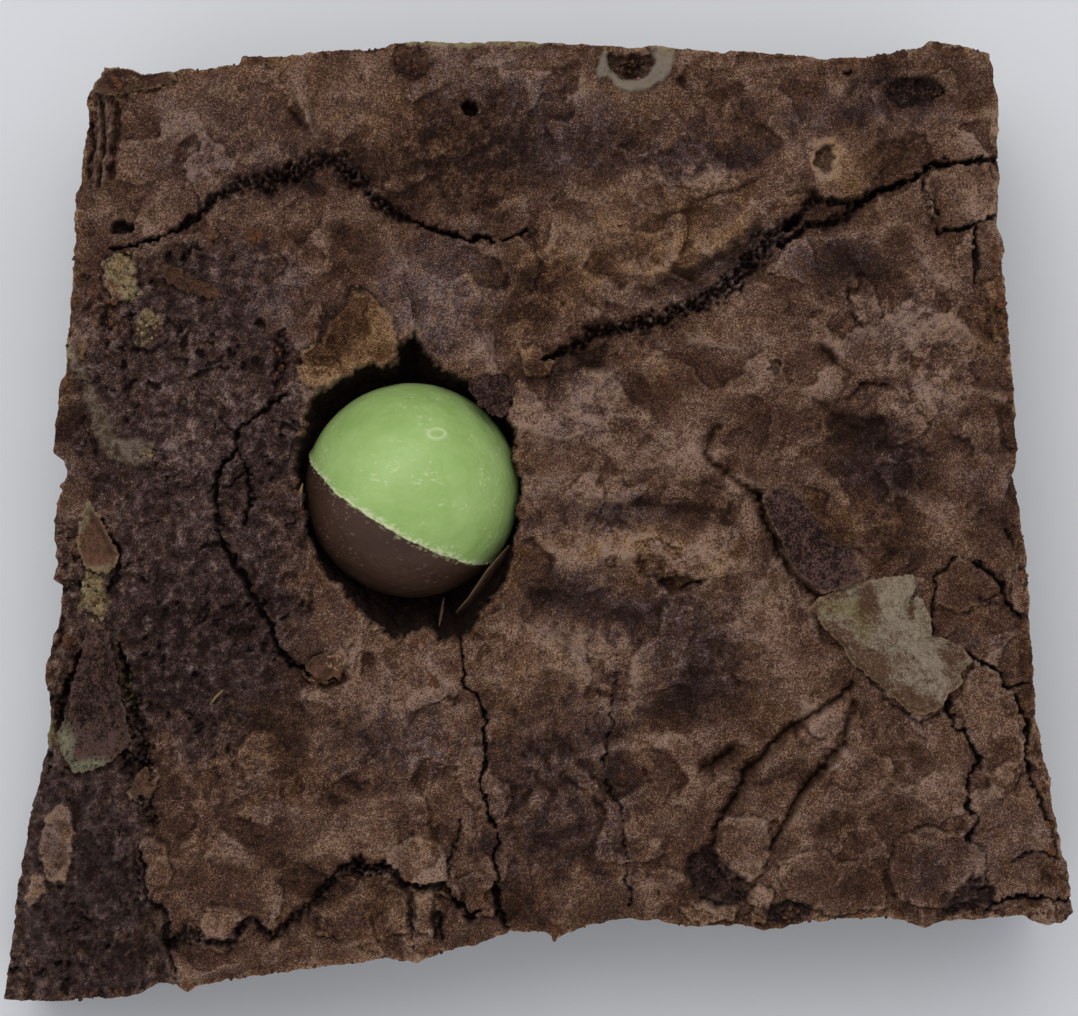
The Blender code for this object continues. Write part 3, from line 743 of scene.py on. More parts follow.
# Cracks: a depth in metres, then places in squares with the crack's width there
CRACKS = (
    crack(0.0024, (108, 248, 4), (128, 250, 5), (166, 234, 5), (196, 218, 7), (214, 200, 8), (241, 184, 13),
          (270, 181, 20), (296, 172, 18), (319, 159, 17), (337, 161, 16), (349, 172, 13), (362, 186, 10),
          (381, 206, 11), (403, 216, 8), (431, 227, 6), (449, 236, 5), (492, 241, 4), (510, 238, 3),
          (528, 232, 2)),
    crack(0.0030, (544, 358, 5), (571, 350, 9), (596, 331, 11), (625, 329, 14), (652, 322, 14),
          (679, 311, 16), (705, 302, 18), (734, 280, 19), (757, 257, 20), (770, 240, 17), (784, 229, 12),
          (799, 220, 8)),
    crack(0.0022, (780, 244, 6), (812, 227, 8), (846, 218, 8), (862, 200, 10), (886, 189, 7)),
    crack(0.0022, (784, 229, 7), (797, 216, 8), (814, 199, 9), (838, 203, 7), (862, 200, 8), (886, 189, 6),
          (913, 178, 5), (938, 163, 5), (962, 162, 6), (997, 160, 7)),
    crack(0.0011, (924, 183, 3), (932, 202, 4), (939, 216, 3), (938, 231, 3), (959, 230, 4),
          (974, 227, 4), (993, 214, 4)),
    crack(0.0014, (978, 231, 5), (973, 248, 6), (978, 265, 7), (977, 280, 4)),
    crack(0.0012, (286, 395, 4), (261, 413, 5), (242, 425, 5), (236, 436, 5)),
    crack(0.0008, (217, 415, 2), (228, 426, 3), (236, 436, 4), (238, 449, 4), (244, 466, 4)),
    crack(0.0018, (238, 449, 3), (233, 454, 4), (220, 466, 5), (217, 484, 5), (216, 502, 6), (219, 529, 7),
          (217, 534, 5), (241, 572, 7), (250, 594, 7), (268, 622, 6), (284, 660, 6), (305, 671, 6),
          (336, 680, 3)),
    crack(0.0012, (244, 466, 4), (251, 475, 4), (252, 499, 5), (246, 524, 3)),
    crack(0.0016, (461, 640, 5), (464, 660, 4), (464, 683, 4), (479, 697, 4), (486, 721, 4), (484, 756, 4),
          (481, 779, 3), (486, 803, 4), (498, 836, 4), (495, 865, 4), (496, 911, 4), (509, 929, 3)),
    crack(0.0010, (461, 817, 3), (455, 851, 4), (446, 876, 4)),
    crack(0.0010, (630, 663, 1), (616, 677, 2), (611, 699, 3), (611, 725, 2), (605, 752, 4), (604, 768, 4),
          (612, 795, 3), (623, 820, 2), (625, 847, 3), (627, 883, 3), (632, 906, 3)),
    crack(0.0005, (730, 495, 2), (729, 538, 2), (729, 582, 2)),
    crack(0.0020, (168, 945, 9), (189, 933, 12), (205, 941, 9), (230, 944, 9), (237, 933, 8), (250, 920, 8),
          (268, 933, 7), (273, 938, 7), (295, 919, 9), (316, 901, 9), (339, 872, 8), (357, 862, 9),
          (361, 872, 9), (384, 867, 8), (396, 872, 8), (402, 883, 7), (421, 888, 6), (443, 885, 7),
          (455, 901, 6), (468, 917, 5), (486, 913, 4)),
    crack(0.0024, (355, 868, 14), (369, 874, 16), (383, 870, 12)),
    crack(0.0010, (411, 894, 4), (411, 919, 4), (416, 944, 4)),
    crack(0.0020, (438, 915, 9), (439, 936, 8)),
    crack(0.0012, (976, 559, 3), (990, 571, 4), (1001, 582, 5), (1003, 594, 5), (1014, 609, 4),
          (1024, 621, 4)),
    crack(0.0008, (1001, 590, 3), (997, 596, 3), (982, 603, 3)),
    crack(0.0010, (955, 558, 3), (947, 569, 4), (936, 575, 4), (934, 598, 4), (932, 632, 4)),
    crack(0.0010, (1007, 528, 4), (1014, 547, 4)),
    crack(0.0014, (968, 650, 3), (974, 657, 4), (995, 672, 5), (1011, 690, 5), (1028, 680, 4)),
    crack(0.0012, (1014, 693, 4), (1026, 722, 5), (1026, 761, 5), (1030, 781, 4), (1044, 807, 4),
          (1052, 829, 4), (1058, 858, 4)),
    crack(0.0009, (1011, 862, 3), (1030, 852, 4), (1044, 853, 4), (1058, 860, 4)),
    crack(0.0014, (951, 697, 5), (951, 709, 5), (953, 728, 6), (967, 734, 5), (979, 761, 6), (967, 783, 4),
          (969, 805, 4), (975, 821, 4), (967, 842, 4)),
    crack(0.0014, (985, 912, 5), (1003, 900, 5), (1024, 896, 5), (1054, 900, 4), (1070, 898, 4)),
    crack(0.0016, (121, 745, 8), (133, 771, 18), (146, 800, 16), (152, 824, 8)),
    crack(0.0012, (139, 847, 5), (146, 901, 7), (168, 912, 6), (166, 944, 7), (176, 968, 5)),
    crack(0.0014, (281, 331, 7), (283, 350, 12), (279, 372, 12), (274, 393, 6)),
    crack(0.0006, (530, 236, 3), (540, 262, 2), (536, 290, 2)),
    crack(0.0007, (860, 668, 3), (872, 684, 4), (893, 704, 4), (921, 722, 4), (940, 714, 3)),
    crack(0.0018, (84, 644, 4), (76, 660, 7), (69, 678, 5)),
    crack(0.0022, (64, 682, 5), (57, 704, 9), (51, 730, 6)),
    # The next two cracks run along the right edges of the left flakes; their darkness is painted shadow of
    # those flakes.
    crack(0.0024, (118, 640, 3), (127, 680, 8), (137, 722, 13), (146, 764, 14), (146, 782, 8)),
    crack(0.0012, (98, 520, 2), (118, 548, 6), (118, 576, 7), (106, 592, 4)),
)

# Broad folds: a run, a half width in squares and a rise in metres; raised folds are painted lighter and sunk
# ones darker, as painted light and shade
FOLDS = (
    (Run(((596, 235), (690, 196), (792, 168))), 19.0, 0.0006),
    (Run(((640, 275), (705, 252), (758, 214))), 10.0, 0.0007),
    (Run(((655, 290), (715, 268), (760, 236))), 8.0, -0.0005), (Run(((300, 100), (322, 148))), 7.0, 0.0004),
    (Run(((560, 560), (640, 546), (726, 562))), 18.0, 0.0008),
    (Run(((545, 516), (620, 512), (700, 516))), 9.0, -0.0005),
    (Run(((520, 420), (646, 418), (700, 470))), 16.0, 0.0006),
    (Run(((838, 704), (800, 735), (764, 775), (748, 820))), 13.0, 0.0006),
    (Run(((880, 700), (862, 745), (820, 795), (800, 850))), 13.0, 0.0006),
    (Run(((705, 770), (732, 750))), 7.0, -0.0004), (Run(((848, 275), (860, 324))), 14.0, 0.0005),
    (Run(((835, 430), (921, 480))), 24.0, -0.0008), (Run(((540, 610), (640, 620))), 21.0, -0.0006),
    (Run(((812, 188), (826, 202), (850, 198), (868, 184))), 6.0, 0.0003),
    (Run(((520, 480), (600, 490), (690, 494))), 12.0, 0.0005),
    (Run(((540, 640), (600, 700), (590, 790))), 20.0, 0.0004),
    (Run(((760, 640), (800, 690))), 15.0, 0.0004), (Run(((900, 740), (930, 800))), 20.0, 0.0004),
    (Run(((330, 700), (420, 760), (470, 850))), 24.0, 0.0003),
    (Run(((740, 470), (752, 520), (760, 580))), 12.0, 0.0005),
    (Run(((560, 360), (600, 380), (640, 420))), 12.0, 0.0004),
    (Run(((380, 250), (430, 300), (470, 350))), 22.0, 0.0004),
)
# Sharp creases: the same numbers, with a pointed profile; rising creases get a painted highlight and sunk
# ones painted shade
CREASES = (
    (Run(((854, 684), (825, 707), (789, 728), (745, 772), (737, 794), (721, 820), (714, 844))), 4.0,
        -0.0012), (Run(((852, 701), (845, 740), (801, 791), (774, 846))), 4.0, -0.0010),
    (Run(((718, 425), (705, 449), (711, 463), (740, 484), (770, 505))), 4.0, -0.0008),
    (Run(((646, 418), (607, 413))), 3.0, 0.0006), (Run(((646, 418), (625, 399))), 3.0, 0.0006),
    (Run(((646, 418), (652, 395), (640, 372))), 3.0, 0.0005), (Run(((643, 452), (670, 466))), 3.5, 0.0007),
    (Run(((660, 440), (690, 462), (700, 480))), 3.0, 0.0005),
    (Run(((540, 480), (580, 474), (640, 480))), 3.0, 0.0003),
    (Run(((657, 584), (678, 588), (702, 580))), 3.5, -0.0010),
    (Run(((640, 574), (676, 570), (706, 576))), 4.0, 0.0006),
    (Run(((694, 200), (740, 190), (760, 178))), 3.5, -0.0004), (Run(((630, 200), (660, 214))), 3.0, 0.0005),
    (Run(((300, 104), (312, 126), (324, 148))), 3.0, 0.0006), (Run(((292, 108), (300, 124))), 3.0, -0.0005),
    (Run(((860, 276), (850, 296), (856, 322))), 3.0, -0.0005),
    (Run(((700, 772), (732, 750))), 3.0, -0.0006), (Run(((880, 382), (910, 392))), 3.0, 0.0004),
    (Run(((850, 400), (862, 384), (884, 386))), 3.0, -0.0005),
    (Run(((560, 690), (590, 720), (604, 750))), 3.0, 0.0003),
    (Run(((520, 620), (560, 640), (600, 660))), 4.0, 0.0004),
    (Run(((776, 846), (812, 790), (850, 748))), 3.5, 0.0004),
    (Run(((870, 800), (890, 780), (920, 800))), 3.5, 0.0003),
    (Run(((612, 330), (600, 360), (560, 372))), 4.0, -0.0003),
    (Run(((690, 340), (740, 352), (760, 380))), 4.0, 0.0003),
    (Run(((930, 344), (960, 330), (990, 350))), 4.0, 0.0003),
    (Run(((820, 350), (850, 372), (840, 400))), 4.0, -0.0003),
    (Run(((96, 640), (80, 668), (68, 700), (60, 742))), 3.0, 0.0006),
    (Run(((70, 632), (58, 664), (50, 700))), 3.0, 0.0005),
    # Sunk crease along the strip flake's left edge; its darkness is the flake's painted shadow.
    (Run(((757, 494), (766, 523), (779, 549), (790, 570), (806, 588), (822, 598))), 4.0, -0.0010),
    (Run(((86, 650), (72, 690), (64, 716))), 2.5, -0.0005), (Run(((60, 620), (50, 660))), 2.5, -0.0004),
    (Run(((520, 424), (560, 440), (590, 430))), 3.0, 0.0003),
    (Run(((190, 250), (240, 262), (300, 250))), 4.0, 0.0002),
)

# Blisters: middle, half size in squares and rise in metres
BLISTERS = (
    (845, 170, 30, 0.0012), (702, 666, 52, -0.0008), (702, 666, 31, 0.0007), (571, 591, 22, 0.0007),
    (742, 849, 30, 0.0003), (937, 868, 48, 0.0006), (928, 864, 22, -0.0009), (960, 198, 36, 0.0004),
    (160, 489, 20, 0.0008), (912, 90, 30, -0.0009), (415, 860, 30, 0.0003), (720, 876, 30, -0.0010),
)

# Burst bubbles and holes: middle, half sizes in squares, depth in metres and brightness of the rim
HOLES = (
    (825, 160, 10, 16, 0.0016, 0.55), (470, 107, 7, 7, 0.0022, 0.1), (122, 228, 10, 8, 0.0022, 0.1),
    (848, 73, 4, 4, 0.0012, 0.1), (774, 366, 7, 6, 0.0009, 0.3), (260, 325, 5, 5, 0.0010, 0.1),
    (244, 365, 4, 4, 0.0008, 0.1), (256, 359, 4, 4, 0.0008, 0.1), (678, 581, 20, 4, 0.0009, 0.3),
    (154, 384, 9, 5, 0.0010, 0.3), (183, 402, 7, 5, 0.0009, 0.1), (866, 386, 5, 4, 0.0006, 0.1),
    (944, 896, 6, 5, 0.0008, 0.1), (690, 246, 5, 3, 0.0005, 0.1), (634, 72, 9, 7, 0.0010, 0.1),
)


@dataclass(frozen=True)
class Plate:
    """A torn plate of crust: outline, rise in metres, and what it does to the colour.

    A bare plate has lost its crust: its inside is rough crumb.
    """

    outline: Squares
    rise: float
    tone: float = 0.0
    gold: float = 0.0
    plum: float = 0.0
    bare: bool = False
    crack: float = 0.85


# Torn plates: outline, rise in metres, shifts of tone, gold and plum, bare or not, gap's depth and painted
# shade
PLATES = (
    Plate(((714, 838), (722, 822), (740, 815), (762, 820), (772, 838), (768, 862), (752, 880), (728, 882),
           (716, 864)), 0.0005, 0.10),
    Plate(((890, 860), (900, 838), (925, 829), (960, 834), (984, 850), (985, 884), (968, 902), (930, 909),
           (900, 900), (891, 880)), 0.0005, 0.06, 0.0, 0.1),
    Plate(((926, 178), (950, 165), (985, 166), (997, 184), (994, 212), (970, 228), (940, 228), (928, 204)),
          0.0004, 0.03, 0.1),
    Plate(((386, 866), (392, 846), (412, 838), (440, 842), (447, 862), (462, 900), (430, 888), (400, 881)),
          0.0005, 0.12, 0.1),
    Plate(((198, 924), (210, 908), (234, 906), (242, 920), (232, 938), (208, 940)), 0.0006, 0.10, 0.1),
    Plate(((136, 846), (152, 838), (168, 850), (171, 880), (158, 906), (140, 900)), 0.0005, 0.06, 0.4),
    Plate(((689, 856), (708, 847), (722, 866), (748, 882), (752, 896), (730, 906), (700, 902), (690, 880)),
          -0.0009, -0.24, 0.0, 0.5, True),
    Plate(((955, 890), (970, 878), (992, 884), (993, 904), (972, 912), (940, 914)), -0.0008, -0.24, 0.0, 0.5,
          True),
    Plate(((764, 908), (790, 900), (811, 906), (808, 922), (770, 926)), -0.0007, -0.22, 0.0, 0.5, True),
    Plate(((878, 90), (900, 78), (930, 78), (946, 90), (930, 103), (900, 106)), -0.0005, -0.18, 0.0, 0.6,
          True, 0.2),
    Plate(((104, 262), (118, 254), (136, 262), (140, 284), (130, 302), (112, 304), (105, 284)), 0.0005, 0.1),
    Plate(((131, 318), (146, 311), (164, 318), (167, 336), (150, 349), (134, 342)), 0.0004, 0.0),
    Plate(((302, 352), (322, 344), (330, 322), (350, 306), (352, 288), (378, 300), (398, 330), (404, 352),
           (382, 366), (350, 372), (318, 388), (296, 380)), 0.0004, 0.0, 0.95, -0.5, False, 0.8),
    Plate(((520, 352), (540, 346), (554, 360), (548, 376), (526, 376)), 0.0003, 0.12, 0.6),
    Plate(((304, 676), (318, 656), (342, 647), (346, 666), (338, 682), (318, 684)), 0.0005, 0.10, 0.8),
    Plate(((29, 856), (38, 818), (56, 806), (68, 822), (66, 860), (58, 888), (36, 886)), 0.0003, 0.34, 0.5,
          0.0, False, 0.3),
    Plate(((14, 906), (22, 882), (34, 880), (36, 900), (20, 918)), 0.0003, 0.28, 0.5, 0.0, False, 0.2),
    Plate(((129, 796), (140, 772), (156, 765), (160, 780), (148, 800), (138, 804)), 0.0005, 0.22, 0.4),
    Plate(((680, 908), (700, 904), (737, 906), (735, 920), (700, 926)), 0.0004, 0.18, 0.3),
    Plate(((748, 890), (760, 884), (772, 892), (766, 924), (752, 926)), 0.0005, 0.12, 0.3),
    Plate(((1004, 572), (1018, 566), (1030, 590), (1032, 616), (1018, 612), (1006, 592)), 0.0003, 0.02),
    Plate(((936, 576), (958, 560), (980, 566), (1000, 588), (998, 600), (960, 612), (936, 604)),
          0.0003, 0.04),
    Plate(((975, 660), (1000, 676), (1012, 692), (1024, 724), (1024, 770), (1000, 800), (984, 770),
           (966, 730), (958, 700)), 0.0003, 0.03),
    Plate(((985, 284), (1006, 276), (1012, 310), (1014, 344), (996, 342), (990, 312)), 0.0004, 0.04, 0.6),
    Plate(((850, 280), (862, 276), (876, 292), (878, 320), (862, 326), (852, 310)), 0.0005, 0.06),
    Plate(((455, 884), (470, 870), (492, 880), (494, 916), (470, 920), (458, 902)), 0.0002, -0.04),
    Plate(((330, 876), (352, 866), (384, 882), (404, 892), (408, 930), (360, 944), (318, 934)), 0.0003, -0.03,
          0.2),
    Plate(((418, 896), (438, 894), (444, 912), (432, 934), (416, 930)), 0.0004, 0.05, 0.1),
    Plate(((775, 860), (812, 850), (850, 862), (884, 872), (886, 908), (830, 914), (790, 900)), 0.0003, 0.05),
    Plate(((82, 72), (120, 68), (176, 76), (176, 86), (130, 94), (92, 100)), 0.0003, -0.08, 0.7, 0.0, True),
    Plate(((396, 50), (426, 48), (430, 66), (412, 80), (398, 72)), 0.0005, -0.08, 0.5, 0.0, True, 0.8),
    Plate(((608, 54), (655, 54), (655, 64), (644, 78), (622, 78), (609, 68)),
          -0.0006, -0.16, 0.2, 0.0, True, 0.3),
)
# The slumped left side: the line of its step and the slab's edge, then steps and falls in metres
SHOULDER_LINE = ((86, 493), (120, 555), (110, 634), (133, 741), (148, 820), (142, 901), (168, 942),
                 (184, 1002))
SHOULDER_EDGE = ((105, 70), (70, 329), (53, 452), (63, 491), (52, 522), (57, 586), (46, 648), (46, 717),
                 (38, 755), (20, 826), (3, 912), (-13, 1015))
SHOULDER_STEP = 0.0014
SHOULDER_FALL_BACK = 0.002
SHOULDER_FALL_FRONT = 0.015
TERRACE_LINE = ((118, 86), (112, 130), (104, 175), (92, 215))
TERRACE_FALL = 0.0034

# Colour of the crust by soft ovals: lighter and darker, golden, plum, mottled, crumb and mint
TONES = (
    Patch(230, 150, 44, 30, 0.12), Patch(165, 210, 34, 22, 0.09), Patch(290, 95, 50, 26, 0.06),
    Patch(470, 150, 70, 62, -0.16), Patch(400, 110, 40, 30, -0.04), Patch(570, 130, 60, 36, -0.10),
    Patch(700, 158, 66, 13, -0.14, -6), Patch(690, 187, 84, 17, 0.20, -5), Patch(640, 100, 60, 18, 0.02),
    Patch(700, 240, 84, 10, 0.18, -24), Patch(700, 268, 80, 12, -0.10, -27), Patch(545, 285, 60, 48, -0.13),
    Patch(630, 240, 60, 26, 0.04), Patch(830, 118, 60, 14, -0.12), Patch(800, 82, 50, 18, 0.02),
    Patch(945, 140, 48, 14, 0.13), Patch(915, 92, 40, 18, -0.12), Patch(842, 168, 24, 24, 0.12),
    Patch(832, 262, 44, 26, -0.07), Patch(930, 290, 60, 60, 0.09), Patch(960, 200, 30, 22, 0.08),
    Patch(780, 300, 50, 40, 0.02), Patch(700, 390, 60, 34, -0.03), Patch(575, 398, 56, 34, 0.19),
    Patch(655, 440, 50, 30, 0.16), Patch(740, 330, 60, 34, 0.03), Patch(640, 360, 44, 20, 0.02),
    Patch(610, 488, 80, 18, 0.07), Patch(620, 516, 82, 12, -0.10, -4), Patch(656, 552, 80, 19, 0.26, 4),
    Patch(560, 548, 34, 22, 0.10), Patch(570, 592, 36, 20, -0.16), Patch(571, 590, 13, 9, 0.14),
    Patch(632, 614, 44, 22, -0.20), Patch(702, 664, 48, 54, -0.26), Patch(560, 640, 54, 18, 0.12, 10),
    Patch(620, 680, 34, 50, 0.10), Patch(530, 672, 34, 30, -0.03), Patch(560, 800, 66, 100, -0.12),
    Patch(790, 600, 52, 70, 0.14), Patch(745, 530, 20, 60, 0.06), Patch(900, 380, 70, 34, 0.10),
    Patch(880, 462, 50, 38, -0.22), Patch(945, 450, 36, 40, 0.04), Patch(870, 520, 50, 30, -0.08),
    Patch(950, 520, 46, 40, 0.02), Patch(910, 770, 60, 66, 0.13), Patch(800, 745, 50, 50, 0.09),
    Patch(690, 800, 50, 50, 0.06), Patch(940, 866, 24, 24, -0.12), Patch(830, 880, 50, 22, 0.08),
    Patch(1000, 740, 26, 60, 0.08), Patch(410, 680, 70, 44, 0.12), Patch(400, 740, 60, 26, -0.08),
    Patch(400, 830, 90, 34, 0.07), Patch(260, 720, 74, 44, -0.06), Patch(330, 905, 120, 34, -0.01),
    Patch(440, 290, 60, 66, 0.10), Patch(250, 270, 70, 30, -0.02), Patch(500, 330, 30, 34, 0.03),
    Patch(190, 640, 100, 90, -0.10), Patch(180, 430, 90, 100, -0.04), Patch(75, 900, 60, 110, -0.12),
    Patch(330, 170, 44, 20, -0.06), Patch(300, 560, 30, 50, -0.08), Patch(190, 820, 40, 60, -0.08),
    Patch(860, 800, 110, 70, -0.10), Patch(560, 800, 80, 80, -0.07), Patch(350, 760, 100, 70, -0.08),
    Patch(460, 165, 90, 60, -0.10), Patch(230, 150, 90, 50, -0.05), Patch(190, 640, 90, 60, -0.05),
    Patch(75, 900, 70, 100, -0.06), Patch(660, 240, 80, 20, -0.06, -20), Patch(480, 150, 80, 80, -0.09),
    Patch(930, 340, 70, 70, 0.12), Patch(900, 300, 40, 120, 0.05), Patch(580, 450, 60, 60, 0.06),
    Patch(630, 558, 80, 20, 0.08), Patch(190, 420, 70, 90, 0.08), Patch(570, 640, 60, 60, 0.04),
    Patch(330, 250, 50, 60, -0.06), Patch(250, 560, 30, 90, -0.06), Patch(940, 370, 60, 60, 0.09),
    Patch(230, 140, 70, 36, 0.07), Patch(520, 95, 90, 36, 0.09), Patch(650, 240, 60, 22, -0.07),
    Patch(180, 425, 60, 50, 0.07), Patch(702, 664, 44, 46, 0.05), Patch(500, 270, 60, 60, -0.03),
)
GOLD = (
    Patch(640, 240, 90, 44, 0.55, -14), Patch(715, 238, 84, 12, 0.6, -24), Patch(520, 280, 70, 60, 0.5),
    Patch(350, 340, 50, 40, 0.3), Patch(690, 190, 80, 16, 0.25), Patch(650, 112, 80, 20, 0.25),
    Patch(660, 556, 84, 26, 0.65), Patch(560, 560, 50, 30, 0.4), Patch(520, 690, 44, 60, 0.35),
    Patch(860, 520, 60, 36, 0.5), Patch(760, 720, 40, 50, 0.3), Patch(380, 110, 60, 50, 0.3),
    Patch(240, 62, 70, 10, 0.6), Patch(640, 380, 60, 30, 0.35), Patch(470, 160, 70, 60, 0.25),
    Patch(1000, 310, 14, 40, 0.7), Patch(880, 170, 40, 60, 0.2), Patch(270, 740, 80, 60, 0.4),
    Patch(300, 560, 36, 70, 0.25), Patch(340, 900, 100, 40, 0.25), Patch(960, 590, 40, 40, 0.3),
    Patch(940, 360, 60, 40, 0.2), Patch(514, 560, 14, 60, 0.6), Patch(700, 700, 60, 60, 0.2),
    Patch(112, 292, 20, 14, 0.6), Patch(92, 352, 16, 22, 0.7), Patch(90, 88, 20, 16, 0.6),
    Patch(1020, 760, 20, 90, 0.3), Patch(560, 900, 80, 20, 0.4), Patch(150, 560, 30, 12, 0.5),
    Patch(268, 398, 18, 12, 0.5), Patch(285, 370, 12, 22, 0.5), Patch(100, 560, 20, 40, 0.3),
)
PLUM = (
    Patch(480, 80, 70, 30, 0.5), Patch(560, 130, 60, 44, 0.6), Patch(700, 158, 76, 14, 0.8, -6),
    Patch(830, 118, 70, 16, 0.5), Patch(715, 268, 80, 12, 0.7, -27), Patch(832, 262, 44, 26, 0.7),
    Patch(880, 464, 50, 40, 0.8), Patch(702, 664, 50, 56, 0.7), Patch(632, 612, 48, 24, 0.8),
    Patch(568, 590, 40, 24, 0.8), Patch(620, 514, 82, 12, 0.6, -4), Patch(400, 740, 70, 30, 0.6),
    Patch(560, 800, 60, 90, 0.4), Patch(440, 290, 62, 62, 0.75), Patch(190, 420, 130, 170, 0.7),
    Patch(200, 640, 110, 100, 0.7), Patch(75, 890, 80, 130, 0.75), Patch(936, 866, 26, 26, 0.8),
    Patch(600, 720, 30, 50, 0.3), Patch(900, 330, 50, 60, 0.25), Patch(220, 150, 90, 50, 0.35),
    Patch(580, 400, 60, 36, 0.35), Patch(990, 480, 30, 60, 0.3), Patch(560, 150, 60, 30, 0.3),
    Patch(250, 290, 70, 40, 0.5), Patch(900, 96, 60, 26, 0.6), Patch(1000, 840, 50, 50, 0.3),
)
MOTTLED = (
    Patch(560, 800, 74, 110, 0.9), Patch(400, 740, 90, 50, 0.8), Patch(930, 400, 80, 60, 0.6),
    Patch(470, 150, 80, 70, 0.5), Patch(320, 170, 60, 30, 0.6), Patch(600, 690, 60, 50, 0.5),
    Patch(330, 910, 130, 40, 0.6), Patch(480, 870, 40, 40, 0.6), Patch(230, 180, 80, 60, 0.4),
    Patch(690, 140, 90, 40, 0.7), Patch(990, 640, 40, 50, 0.6), Patch(280, 790, 90, 60, 0.5),
    Patch(650, 640, 90, 60, 0.5), Patch(600, 520, 80, 30, 0.6), Patch(880, 580, 60, 60, 0.3),
    Patch(640, 870, 50, 40, 0.7), Patch(430, 330, 60, 40, 0.4),
)
CRUMB = (
    Patch(180, 430, 115, 190, 1.0, 0, 4), Patch(185, 640, 110, 110, 1.0, 0, 4), Patch(230, 270, 80, 40, 0.5),
    Patch(70, 900, 90, 130, 1.0, 0, 4), Patch(275, 540, 46, 100, 0.9), Patch(200, 780, 70, 60, 0.5),
    Patch(120, 330, 50, 60, 0.6), Patch(280, 380, 20, 50, 0.8), Patch(514, 560, 12, 60, 0.5),
)
MINT = (
    Patch(121, 270, 15, 16, 0.85), Patch(131, 290, 11, 13, 0.6), Patch(150, 320, 15, 9, 0.6),
    Patch(143, 338, 10, 12, 0.4), Patch(478, 43, 84, 4, 1.0), Patch(90, 590, 9, 18, 0.9, -20),
    Patch(102, 600, 7, 18, 0.7, -20), Patch(78, 604, 4, 12, 0.8), Patch(46, 737, 5, 14, 0.9),
    Patch(182, 400, 10, 4, 0.4, -12), Patch(129, 690, 6, 22, 0.6, -15), Patch(45, 738, 5, 13, 0.9),
)
MINT_RING = Run((
    (605, 47), (596, 70), (600, 80), (608, 76), (616, 88), (627, 92), (643, 92), (656, 84), (663, 82),
    (672, 72), (675, 46), (648, 46), (656, 63), (650, 66), (652, 70), (643, 81), (634, 82), (620, 79),
    (609, 68), (608, 54)), True)
MINT_STREAK = Run((
    (68, 341, 12), (74, 362, 18), (88, 385, 16), (96, 409, 17), (103, 430, 20), (112, 447, 28),
    (130, 452, 36), (146, 450, 24), (156, 446, 8)))
# Layered flakes of the back left corner: pale upright edges with gaps between, darkened by painted shade
CORNER_EDGES = (
    Run(((96, 98, 3), (98, 130, 3), (92, 168, 3), (90, 190, 3))),
    Run(((106, 100, 3), (110, 126, 3), (104, 162, 4), (104, 186, 3))),
)
CORNER_GAPS = (
    Run(((101, 104, 5), (104, 140, 6), (98, 186, 5))), Run(((118, 104, 8), (116, 140, 9), (112, 176, 7))),
    Run(((88, 110, 4), (90, 140, 5), (86, 176, 4))),
)


@dataclass
class Canvas:
    """The crust under way at many plan places: jagged coordinates, height and masks."""

    sx: Array
    sy: Array
    spot: Array
    jx: Array
    jy: Array
    height: Array
    tone: Array
    gold: Array
    plum: Array
    mint: Array
    crumb: Array
    # Painted shade mask: where the near-black shade colour covers the crust.
    painted_shade: Array

    def paint_shade(self, share: Array) -> None:
        """Raise the painted shade mask, which darkens cracks, gaps, holes and pores, to a share where it is
        lower.
        """
        self.painted_shade = np.maximum(self.painted_shade, share)

    def masks(self) -> dict[str, Array]:
        """The masks that the finish reads, each from 0 to 1."""
        plum = self.plum + 0.35 * self.crumb
        named = {"tone": self.tone, "gold": self.gold, "plum": plum, "mint": self.mint, "painted_shade": self.painted_shade}
        return {name: np.clip(values, 0.0, 1.0) for name, values in named.items()}


